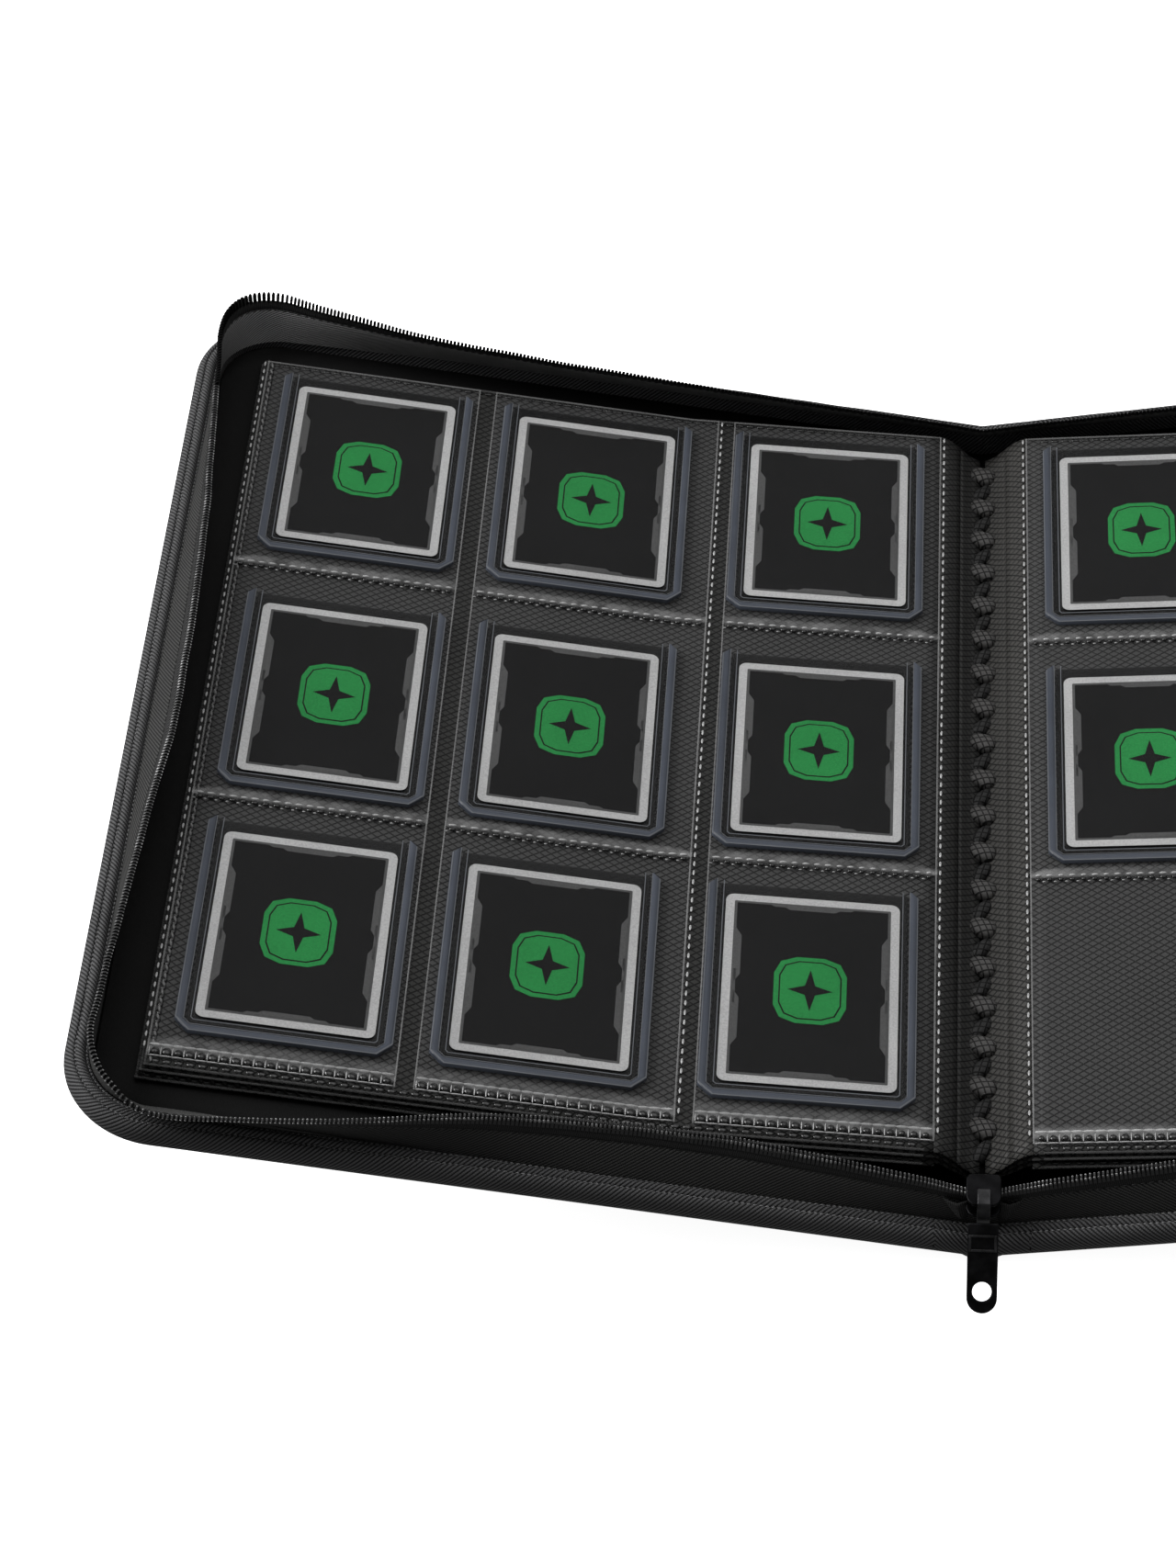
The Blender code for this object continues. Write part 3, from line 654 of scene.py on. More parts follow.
def makeRimStitches(side, word, ends):
    beads = []
    for inset in shell["stitches"]:
        turns = round(0.05 / shell["stitchPitch"])
        path = coverPath(shell["start"] + 0.001, inset, shell["stitchPitch"], turns)
        for (u, v, *_), (u2, v2, *_) in zip(path, path[1:]):
            middle = onCover(side, (u + u2) / 2, (v + v2) / 2, 0.0042 if inset < 0.005 else 0.0041)
            beads.append((middle, (side * (u2 - u), v2 - v, 0.0), (0, 0, 1), 0.0007, 0.0003, 0.0003))
    # the same seam shows on the cover's outer face
    path = coverPath(shell["start"] + 0.012, shell["backStitch"], shell["backPitch"], 16)
    for (u, v, *_), (u2, v2, *_) in zip(path, path[1:]):
        middle = onCover(side, (u + u2) / 2, (v + v2) / 2, -0.00555)
        beads.append((middle, (side * (u2 - u), v2 - v, 0.0), (0, 0, 1), 0.0012, 0.0003, 0.00025))
    piece = addBeads(word + "RimStitches", beads, ["rimThread"], beadShape(5, 4))
    addBend(piece, ("spine", word + "_cover"), *ends, "shell_fabric")


def spineHeight(x):
    return shell["level"] + abs(x) * math.tan(shell["tilt"])


def makeShellSpine():
    lengths = profileLengths(rimProfile)
    half, width = shell["half"], shell["nearSide"]
    sheets, steps = [], 14
    for way in (-1, 1):
        grid, flat = [], []
        for i in range(steps + 1):
            x = width * (2 * i / steps - 1)
            row = []
            for inset, h in rimProfile:
                z = spineHeight(x) + h
                if abs(x) <= 0.007 and h <= -0.005:
                    z = 0.0
                row.append((x, way * (half - inset), max(z, 0.0)))
            grid.append(row)
            flat.append([(x, length) for length in lengths])
        sheets.append((grid, flat, 0))
    for slotNumber, drop in ((0, -0.0055), (1, -0.0040)):
        grid, flat = [], []
        for i in range(steps + 1):
            x = width * (2 * i / steps - 1)
            row = [(half - 0.010) * (2 * j / 20 - 1) for j in range(21)]
            z = 0.0 if abs(x) <= 0.007 and not slotNumber else max(spineHeight(x) + drop, 0.0)
            grid.append([(x, y, z) for y in row])
            flat.append([(x, y) for y in row])
        sheets.append((grid, flat, slotNumber))
    piece = joinSheets("spineShell", sheets, ["shell", "lining"])
    addRide(piece, "spine", "shell_fabric", "spine_skin")
    beads = []
    for way in (-1, 1):
        for inset in shell["stitches"]:
            for i in range(16):
                x = (i - 7.5) * shell["stitchPitch"]
                place = (x, way * (half - inset), spineHeight(x) + 0.0042)
                along = (1, 0, 0.16 * (1 if x > 0 else -1))
                beads.append((place, along, (0, 0, 1), 0.00062, 0.0002, 0.00022))
    addRide(addBeads("spineStitches", beads, ["rimThread"], beadShape(5, 4)), "spine", "shell_fabric")


def makeLining(side, word):
    def height(u, v):
        return -0.0007 - 0.0031 * (1 - smooth((u - 0.0175) / 0.007)) + puff((u, v, 3), 40, 0.0001)
    points, flat = panelRows(side, 0.0168, 0.0103, height, 44)
    piece = addSheet(word + "Lining", points, flat, ["lining"])
    thicken(piece, 0.0005, -side)
    addBend(piece, ("spine", word + "_cover"), (side * shell["start"], 0, 0.008),
            (side * shell["foldEnd"], 0, 0.010), "lining", word + "_cover_lining")


zipWall = {
    "inset": 0.009, "foot": 0.0058, "top": 0.0183, "teethTop": 0.0204, "combTop": 0.0209, "wave": 0.0004,
    "toothPitch": 0.0015, "toothHalf": (0.00054, 0.0012), "toothTip": 0.0008, "shadeFrom": 0.15,
    "seam": 0.0152,
    "lean": (
        (0.000, 0.0000), (0.045, 0.0045), (0.100, 0.0088), (0.170, 0.0050), (0.225, -0.0065),
        (0.263, -0.0122), (0.287, -0.0139), (0.300, -0.0070), (0.320, -0.0009), (0.361, 0.0017),
        (0.397, 0.0039), (0.433, 0.0060), (0.468, 0.0088), (0.560, 0.0074), (0.655, 0.0012),
        (0.685, -0.0012), (0.708, -0.0072), (0.736, -0.0015), (0.786, 0.0069), (0.891, 0.0120),
        (0.971, 0.0135),
    ),
}


def leanAt(distance):
    leans = zipWall["lean"]
    last = len(leans) - 2
    i = next((k for k in range(last) if distance < leans[k + 1][0]), last)
    (d0, lean0), (d1, lean1) = leans[i], leans[i + 1]
    before, after = leans[max(i - 1, 0)], leans[min(i + 2, last + 1)]
    span = d1 - d0
    slope0 = (lean1 - before[1]) / (d1 - before[0]) * span
    slope1 = (after[1] - lean0) / (after[0] - d0) * span
    t = min(max((distance - d0) / span, 0.0), 1.0)
    rise = lean0 + (lean1 - lean0) * t * t * (3 - 2 * t)
    return rise + slope0 * t * (1 - t) ** 2 - slope1 * t * t * (1 - t)


def onWall(side, station, outward, h):
    u, v, a, b, gone = station
    lean = leanAt(gone) + puff((gone, side * 2, 1), 45, zipWall["wave"])
    shift = outward - lean * (h - zipWall["foot"]) / (zipWall["teethTop"] - zipWall["foot"])
    return onCover(side, u + a * shift, v + b * shift, h)


# outward and height: up the outer face, over the top of the tape and down the inner face
wallSection = (
    (0.0005, 0.0030), (0.0006, 0.0060), (0.0007, 0.0090), (0.0007, 0.0120), (0.0006, 0.0140),
    (0.0004, 0.0149), (0.0002, 0.0152), (0.0005, 0.0156), (0.0005, 0.0170), (0.0003, 0.0184),
    (-0.0003, 0.0184), (-0.0005, 0.0170), (-0.0005, 0.0156), (-0.0002, 0.0152), (-0.0004, 0.0149),
    (-0.0006, 0.0140), (-0.0007, 0.0120), (-0.0007, 0.0090), (-0.0006, 0.0060), (-0.0005, 0.0030),
)


def makeWall(side, word):
    lengths = profileLengths(wallSection)
    path = coverPath(0.0, zipWall["inset"], 0.005, 16)
    grid = [[onWall(side, station, outward, h) for outward, h in wallSection] for station in path]
    flat = [[(station[4], length) for length in lengths] for station in path]
    slots = [0] * 6 + [1] * 6 + [2] * 7
    piece = addSheet(word + "ZipWall", grid, flat, ["wall", "tape", "innerWall"], slots, sharp=60)
    ends = ((side * 0.012, 0, 0.01), (side * 0.042, 0, 0.014))
    nodes = [word + "_zip_wall"] + (["zip_end_near", "zip_end_far"] if side < 0 else [])
    addBend(piece, ("spine", word + "_cover"), *ends, "wall_fabric", *nodes)
    makeTeeth(side, word, ends)


def toothShape():
    # a chamfered block and the two round heads that clasp the other half of the zip
    block = [(x, y, z) for z, grow in ((-1, 1.0), (0.55, 1.0), (1.0, 0.55))
             for x, y in ((-grow, -grow), (grow, -grow), (grow, grow), (-grow, grow))]
    faces = [(0, 3, 2, 1), (8, 9, 10, 11)]
    for k in (0, 4):
        faces += [(k + i, k + (i + 1) % 4, k + 4 + (i + 1) % 4, k + 4 + i) for i in range(4)]
    ball, ballFaces = beadShape(6, 4)
    points, heads = [np.array(block) * (1, 0.8, 1)], []
    for way in (-1, 1):
        start = sum(len(part) for part in points)
        points.append(ball * (0.95, 0.36, 0.42) + (0, way * 0.72, 0.5))
        heads += [tuple(start + i for i in face) for face in ballFaces]
    return np.concatenate(points), faces + heads, len(faces)


def makeTeeth(side, word, ends):
    shape, faces, plain = toothShape()
    path = coverPath(0.0, zipWall["inset"], zipWall["toothPitch"], 30)
    length = path[-1][4]
    gone = np.array([station[4] for station in path])
    count = int(length / zipWall["toothPitch"])
    points, allFaces, slots = [], [], []
    low, high = zipWall["top"] - 0.0002, zipWall["combTop"]
    halfPitch, halfDeep = zipWall["toothHalf"]
    for n in range(count):
        at = (n + 0.5) * length / count
        i = min(int(np.searchsorted(gone, at)) - 1, len(path) - 2)
        t = (at - gone[i]) / (gone[i + 1] - gone[i])
        station = tuple(path[i][k] * (1 - t) + path[i + 1][k] * t for k in range(5))
        foot = Vector(onWall(side, station, 0.0, low))
        farSide = foot[1] > zipWall["shadeFrom"]  # the far row is seen against the light
        crown = Vector(onWall(side, station, 0.0, high + (zipWall["toothTip"] if farSide else 0)))
        out = Vector(onWall(side, station, 0.001, high)) - crown
        out.normalize()
        up = (crown - foot) / 2
        along = out.cross(up).normalized()
        middle = np.array((foot + crown) / 2)
        start = n * len(shape)
        points.append(middle + shape[:, :1] * halfPitch * np.array(along)
                      + shape[:, 1:2] * halfDeep * np.array(out) + shape[:, 2:] * np.array(up))
        allFaces += [tuple(start + k for k in face) for face in faces]
        # the far row takes the painted-shade finish; the near heads take the paler metal, which is partly a
        # painted highlight
        slots += [2] * len(faces) if farSide else [0] * plain + [1] * (len(faces) - plain)
    piece = addPiece(word + "ZipTeeth", np.concatenate(points), allFaces,
                     ["teeth", "teethHeadHighlight", "teethPaintedShade"], None, slots, 35)
    addBend(piece, ("spine", word + "_cover"), *ends, "zip_metal", word + "_zip_teeth")
    beads = []
    seam = zipWall["seam"]
    for first, second in zip(path[::2], path[2::2]):
        along = Vector(onWall(side, second, 0, seam)) - Vector(onWall(side, first, 0, seam))
        for outward in (0.0004, -0.0004):
            beads.append((onWall(side, second, outward, seam), along, (0, 0, 1), 0.0010, 0.00022, 0.0003))
    addBend(addBeads(word + "TapeStitches", beads, ["darkThread"], beadShape(5, 4)),
            ("spine", word + "_cover"), *ends, "wall_fabric")


makeShellSpine()
for side, word in ((-1, "front"), (1, "back")):
    makeShellCover(side, word)
    makeLining(side, word)
    makeWall(side, word)
    repaint(word + "_cover_board", "board")
print("shell, walls and zip ready")


leaf = {  # heights are measured from the tops of the sleeves
    "tilt": math.radians(9.05), "knee": math.radians(4.83), "kneeReach": 0.1193, "level": 0.0165,
    "inner": 0.0176, "reach": 0.2916, "half": 0.185, "top": -0.0023, "thick": 0.0005,
    "lower": (-0.0031, -0.0060), "lowerThick": 0.0026, "spread": 0.0012, "coreInset": 0.004,
    "stitchPitch": 0.0038, "stitchInset": 0.0023, "dentPitch": 0.0041,
}


def onLeaf(side, w, v, m):
    out, up = w, m
    if w < leaf["kneeReach"]:
        d = leaf["kneeReach"] - w
        out = leaf["kneeReach"] - d * math.cos(leaf["knee"]) + m * math.sin(leaf["knee"])
        up = d * math.sin(leaf["knee"]) + m * math.cos(leaf["knee"])
    return (side * (out * math.cos(leaf["tilt"]) - up * math.sin(leaf["tilt"])), v,
            leaf["level"] + out * math.sin(leaf["tilt"]) + up * math.cos(leaf["tilt"]))


def leafUp(side, w):
    turn = leaf["tilt"] - (leaf["knee"] if w < leaf["kneeReach"] else 0.0)
    return (-side * math.sin(turn), 0.0, math.cos(turn))


def leafAlong(side, w):
    turn = leaf["tilt"] - (leaf["knee"] if w < leaf["kneeReach"] else 0.0)
    return (side * math.cos(turn), 0.0, math.sin(turn))


def spaced(low, high, step):
    # evenly placed numbers from low to high, close to step apart
    count = max(1, round((high - low) / step))
    return [low + (high - low) * i / count for i in range(count + 1)]


def kneed(low, high, step):
    # the same, with one of them on the page's bend
    return spaced(low, leaf["kneeReach"], step) + spaced(leaf["kneeReach"], high, step)[1:]


def leafGrid(side, ws, vs, height):
    points = [[onLeaf(side, w, v, height(w, v)) for w in ws] for v in vs]
    return points, [[(w, v) for w in ws] for v in vs]


def makeTopBacking(side, word, number):
    ws = kneed(leaf["inner"], leaf["reach"], 0.006)
    vs = spaced(-leaf["half"], leaf["half"], 0.006)

    def height(w, v):
        rim = smooth((abs(v) - 0.178) / 0.007) + smooth((w - 0.285) / 0.006)
        return leaf["top"] + puff((w, v, number), 55, 0.0005) * min(rim, 1.0)
    points, flat = leafGrid(side, ws, vs, height)
    piece = addSheet(f"page{number}Backing", points, flat, ["pageBacking"])
    thicken(piece, leaf["thick"], -side)
    addRide(piece, word + "_top_leaf", "leaf_backing", f"leaf_{number}_backing")
    makeEdge(side, f"page{number}", word + "_top_leaf", leaf["top"], 0.0)


def makeEdge(side, name, body, top, spread):
    # welded rim of a sheet: a thin pale line, and twisted stitches down the outer edge
    reach, half = leaf["reach"] + spread, leaf["half"] + spread
    sheets = []
    for way in (-1, 1):
        ws = spaced(leaf["inner"] + 0.004, reach, 0.006)
        vs = [way * (half - inset) for inset in (0.0, 0.0003, 0.0008, 0.0011)][::way]
        lift = dict(zip(vs, (0.0, 0.0004, 0.0004, 0.0001)[::way]))
        sheets.append((*leafGrid(side, ws, vs, lambda w, v: top + lift[v]), 0))
    ws = [reach - inset for inset in (0.0011, 0.0008, 0.0003, 0.0)]
    rise = dict(zip(ws, (0.0001, 0.0004, 0.0004, 0.0)))
    sheets.append((*leafGrid(side, ws, spaced(-half, half, 0.006), lambda w, v: top + rise[w]), 0))
    piece = joinSheets(name + "EdgeLine", sheets, ["pageEdge"])
    addRide(piece, body, "clear_film")
    line, beads = reach - leaf["stitchInset"], []
    for n, v in enumerate(spaced(-half + 0.003, half - 0.003, leaf["stitchPitch"])):
        tilt = 0.35 if n % 2 else 0.2
        along = Vector(leafAlong(side, reach)) * tilt + Vector((0, 1, 0))
        size = 0.0014 + puff((v, reach, top), 300, 0.0003)
        beads.append((onLeaf(side, line, v, top + 0.0003), along, leafUp(side, reach),
                      size, 0.00055, 0.00055))
    # the lower pages' stitches take the dimmer thread as painted shade under the page above
    thread = "shadedThread" if spread else "paleThread"
    addRide(addBeads(name + "EdgeStitches", beads, [thread], beadShape(6, 5)), body, "clear_film")
    dents = []
    for w in spaced(leaf["inner"] + 0.008, reach - 0.004, leaf["dentPitch"]):
        for v in (-half + 0.0027, half - 0.0024):
            dents.append((onLeaf(side, w, v, top + 0.0001), leafAlong(side, w), leafUp(side, w),
                          0.0016, 0.0011 if v < 0 else 0.0006, 0.0004))
    for v in spaced(-half + 0.005, half - 0.005, leaf["stitchPitch"]):
        dents.append((onLeaf(side, line, v, top + 0.0002), (0, 1, 0), leafUp(side, reach),
                      0.0011, 0.0009, 0.0004))
    addRide(addBeads(name + "Dents", dents, ["glossBead"], beadShape(8, 5)), body, "leaf_backing")


def makeLowerLeaf(side, word, number, order):
    # a filled page underneath: its own thin sheet, with the sleeves inside it as one raised core
    top, spread = leaf["lower"][order], leaf["spread"] * (order + 1)
    reach, half = leaf["reach"] + spread, leaf["half"] + spread
    ws = kneed(leaf["inner"], reach, 0.009)
    vs = spaced(-half, half, 0.009)

    def sheetHeight(w, v):
        inner = smooth((half - abs(v)) / 0.004) * smooth((reach - w) / 0.004)
        return top - 0.0009 * (1 - inner) + puff((w, v, number), 50, 0.0004) * (1 - inner)
    points, flat = leafGrid(side, ws, vs, sheetHeight)
    sheet = addSheet(f"page{number}", points, flat, ["backing"])
    thicken(sheet, 0.0005, -side)
    addRide(sheet, word + "_leaves", "leaf_backing", f"leaf_{number}_filled")
    makeEdge(side, f"page{number}", word + "_leaves", top - 0.0009, spread)
    core, inset = leaf["lowerThick"], leaf["coreInset"]
    ws = kneed(leaf["inner"] + inset, reach - inset - 0.002, 0.02)
    loops = []
    levels = ((0.0, top - 0.0006), (0.0012, top - 0.0009), (0.0012, top - core + 0.0003), (0.0, top - core))
    for grow, m in levels:
        edge = half - inset - 0.002 + grow
        loop = [(w, edge) for w in ws] + [(w, -edge) for w in reversed(ws)]
        loops.append([onLeaf(side, w, v, m) for w, v in loop])
    points = [point for loop in loops for point in loop]
    faces = sheetFaces(4, len(loops[0]), True)
    n = len(ws)
    for start in (0, 3 * len(loops[0])):
        faces += [(start + i, start + i + 1, start + 2 * n - 2 - i, start + 2 * n - 1 - i)
                  for i in range(n - 1)]
    flatCore = [(0.01 * i, 0.003 * k) for k in range(4) for i in range(len(loops[0]))]
    body = addPiece(f"page{number}Sleeves", points, faces, ["pocketSide"], flatCore)
    addRide(body, word + "_leaves", "leaf_backing")


gutter = {  # each line is out from the binding and up
    "outer": ((0.0170, 0.0256), (0.0150, 0.0249), (0.0130, 0.0236), (0.0110, 0.0218), (0.0090, 0.0197)),
    "inner": ((0.0090, 0.0197), (0.0073, 0.0178), (0.0056, 0.0160), (0.0034, 0.0143), (0.0010, 0.0132)),
    "below": ((0.0090, 0.0197), (0.0077, 0.0174), (0.0066, 0.0148), (0.0056, 0.0124), (0.0050, 0.0108)),
    "outerBend": (0.0092, 0.0165), "innerBend": (0.0050, 0.0090), "least": 0.0102,
    "strips": ((0, 0.0, "outer"), (0, 0.0, "inner"), (1, -0.0030, "whole"), (2, -0.0058, "whole")),
}


def makeGutter(side, word, number):
    # the top page's edge dives into the binding
    whole = gutter["outer"][:-1] + gutter["below"]
    toPage = ((word + "_leaves", word + "_top_leaf"), *gutter["outerBend"])
    toSpine = (("spine", word + "_leaves"), *gutter["innerBend"])
    bends = {"outer": toPage, "inner": toSpine, "whole": toSpine}
    lines = {"outer": gutter["outer"], "inner": gutter["inner"], "whole": whole}
    vs = spaced(-leaf["half"], leaf["half"], 0.006)
    for order, drop, key in gutter["strips"]:
        line, (bodies, start, end) = lines[key], bends[key]
        base = profileLengths(gutter["outer"])[-1] if key == "inner" else 0.0
        grid, flat = [], []
        for v in vs:
            wave = puff((v, side, 5), 40, 0.0004)
            row = []
            for x, z in line:
                free = smooth((x - 0.0090) / 0.004) if key == "outer" else 0.0
                sink = drop * smooth((x - 0.0044) / 0.006)
                row.append((side * (x + wave * free), v, z + sink + wave * free))
            grid.append(row)
            flat.append([(leaf["inner"] - base - length, v) for length in profileLengths(line)])
        # painted light: the right-hand gutter takes the lit backing, the left-hand one the shaded backing
        piece = addSheet(f"page{number + order}Gutter" + key.capitalize(), grid, flat,
                         ["gutterLit" if side > 0 else "gutterShaded"])
        thicken(piece, 0.0004, side)
        addBend(piece, bodies, (side * start, 0, 0.02), (side * end, 0, 0.02), "leaf_backing")
        max(profileLengths(line)[-1], gutter["least"])


films = {
    "rows": ((0.1772, 0.0656), (0.0519, -0.0577), (-0.0673, -0.1785)),
    "head": 0.1835, "hem": 0.0026, "rise": 0.0055, "hemWidth": 0.0016, "overrun": 0.0015, "low": -0.0016,
    "high": 0.0005, "emptyRise": 0.3, "edges": ((0.2912, 0.2049), (0.1078, 0.1987), (0.0180, 0.1018)),
    "ovalPitch": 0.0041,
}


def filmRise(v, filled):
    # 1 where the film lies on the sleeves, 0 along its stitched lines
    above = films["head"]
    for row, (top, seam) in enumerate(films["rows"]):
        if v >= seam:
            past = (v - top - films["overrun"]) / (above - top - films["overrun"])
            up = smooth((v - seam) / films["rise"]) * (1 - smooth(past))
            return up * (1.0 if row < filled else films["emptyRise"])
        above = seam
    return 0.0


def makeFilm(side, word, number, column, filled):
    sewn, free = films["edges"][column]
    inward = 1 if free > sewn else -1
    vs = spaced(films["rows"][-1][1] - films["hem"], films["head"], 0.0026)
    hem = films["hemWidth"]
    ws = sorted([sewn + inward * (hem * k / 2) for k in range(2)]
                + [sewn + inward * (hem + d) for d in spaced(0, abs(free - sewn) - hem, 0.0034)])

    def height(w, v):
        lift = filmRise(v, filled) * smooth((abs(w - sewn) - hem) / films["rise"])
        wave = puff((w, v, number + column), 42, 0.0005) + puff((w, v, column), 130, 0.00018)
        return films["low"] + (films["high"] - films["low"]) * lift + wave * (0.35 + lift * 0.25)
    points, flat = leafGrid(side, ws, vs, height)
    piece = addSheet(f"page{number}Film{column + 1}", points, flat, ["film"])
    addRide(piece, word + "_top_leaf", "clear_film", f"leaf_{number}_film_{column + 1}")
    makeFilmEdges(side, word, number, column, sewn, free, height)
    for row, (_, seam) in enumerate(films["rows"]):
        makeSeam(side, word, number, column, row, seam, ws, height)


def makeFilmEdges(side, word, number, column, sewn, free, height):
    sheets = []
    inward = 1 if free > sewn else -1
    for line, width in ((sewn + inward * 0.0003, 0.0007), (free - inward * 0.0003, 0.0006)):
        ws = [line + width * k for k in (-0.5, -0.2, 0.2, 0.5)]
        lift = dict(zip(ws, (0.0, 0.0003, 0.0003, 0.0)))
        vs = spaced(films["rows"][-1][1] - films["hem"], films["head"], 0.005)
        sheets.append((*leafGrid(side, ws, vs, lambda w, v: height(w, v) + 0.0001 + lift[w]), 0))
    ws = spaced(min(sewn, free), max(sewn, free), 0.005)
    vs = [films["head"] + 0.0006 * k for k in (-0.5, -0.2, 0.2, 0.5)]
    rise = dict(zip(vs, (0.0, 0.0003, 0.0003, 0.0)))
    sheets.append((*leafGrid(side, ws, vs, lambda w, v: films["low"] + 0.0001 + rise[v]), 0))
    piece = joinSheets(f"page{number}FilmEdges{column + 1}", sheets, ["filmEdge"])
    addRide(piece, word + "_top_leaf", "clear_film")
    dots = []
    for v in spaced(-0.176, 0.182, 0.0045):
        dots.append((onLeaf(side, sewn - inward * 0.0011, v, films["low"] + 0.0001), (0, 1, 0),
                     leafUp(side, sewn), 0.0013, 0.00045, 0.0004))
    addRide(addBeads(f"page{number}EdgeDots{column + 1}", dots, ["filmStitchAndHighlight"], beadShape(5, 4)),
            word + "_top_leaf", "clear_film")


def makeSeam(side, word, number, column, row, seam, ws, height):
    # painted highlight on the film where it puffs over a stitched line; dark welds sit along the line
    last = row == len(films["rows"]) - 1
    reach = 0.0075 if last else 0.0042
    steps = 9
    grid, flat = [], []
    for i in range(steps + 1):
        share = i / steps
        v = seam + (-0.0012 if last else 0.0004) + reach * share
        crown = 0.0005 * math.sin(math.pi * share)
        grid.append([onLeaf(side, w, v, height(w, v) + 0.00025 + crown) for w in ws])
        flat.append([(w, share / 1000) for w in ws])
    name = f"page{number}Seam{column + 1}{row + 1}"
    piece = addSheet(name, grid, flat, ["hemCreaseHighlight" if last else "rowCreaseHighlight"])
    addRide(piece, word + "_top_leaf", "clear_film")
    # the pale dashes are painted highlights on the puffed film around each weld
    ovals, highlightDashes, low = [], [], films["low"]
    for n, w in enumerate(spaced(ws[0] + 0.003, ws[-1] - 0.003, films["ovalPitch"])):
        grow = (1.0 if n % 2 else 0.85) * (0.75 + 0.25 * smooth((w - 0.02) / 0.08))
        along, up = leafAlong(side, w), leafUp(side, w)
        if last:
            ovals.append((onLeaf(side, w, seam - 0.0002, low + 0.0003), along, up,
                          0.0017 * grow, 0.0018 * grow, 0.0007))
            highlightDashes.append((onLeaf(side, w + films["ovalPitch"] / 2, seam - 0.0002, low + 0.0004),
                           (0, 1, 0), up, 0.0019, 0.00026, 0.0004))
            for offset, rise, wide in ((0.0023, 0.0007, 0.0006), (-0.0023, 0.0002, 0.0003)):
                highlightDashes.append((onLeaf(side, w, seam + offset, low + rise), along, up, 0.0024, wide, 0.0004))
        else:
            ovals.append((onLeaf(side, w, seam, low + 0.0003), along, up, 0.0013 * grow, 0.0008, 0.0006))
            highlightDashes.append((onLeaf(side, w, seam + 0.0016, low + 0.0007), along, up,
                           0.0017 * grow, 0.00055, 0.0005))
            highlightDashes.append((onLeaf(side, w + 0.002, seam - 0.0010, low + 0.0002), along, up,
                           0.0006, 0.00025, 0.0003))
    for part, beads, finishName, shape in (("Welds", ovals, "glossBead", (10, 6)),
                                           ("Puffs", highlightDashes, "filmStitchAndHighlight", (8, 5))):
        addRide(addBeads(name + part, beads, [finishName], beadShape(*shape)),
                word + "_top_leaf", "clear_film")


sleeve = {
    "width": 0.0762, "height": 0.1016, "thick": 0.0020, "seam": 0.0030, "chamfer": 0.0052, "cut": 0.0026,
    "starts": (0.2836, 0.1947, 0.1010), "lineInset": 0.0054, "lineWidth": 0.00035,
}
card = {
    "width": 0.063, "height": 0.088, "corner": 0.003, "drop": 0.006, "border": 0.0032, "line": 0.0010,
    "layer": 0.00004, "badge": (0.026, 0.031),
}


def sleeveLoop(inset, chamfer, topDrop=0.0):
    # open U: down one side, along the bottom, up the other
    x, y = sleeve["width"] / 2 - inset, sleeve["height"] / 2
    low = -y + inset
    loop = [(-x, y - topDrop), (-x, y - 0.02), (-x, 0.0), (-x, low + chamfer)]
    loop += [(-x + chamfer * k, low + chamfer * (1 - k)) for k in (0.33, 0.67)]
    loop += [(-x + chamfer, low), (0.0, low)]
    return loop + [(-px, py) for px, py in reversed(loop[:-1])]


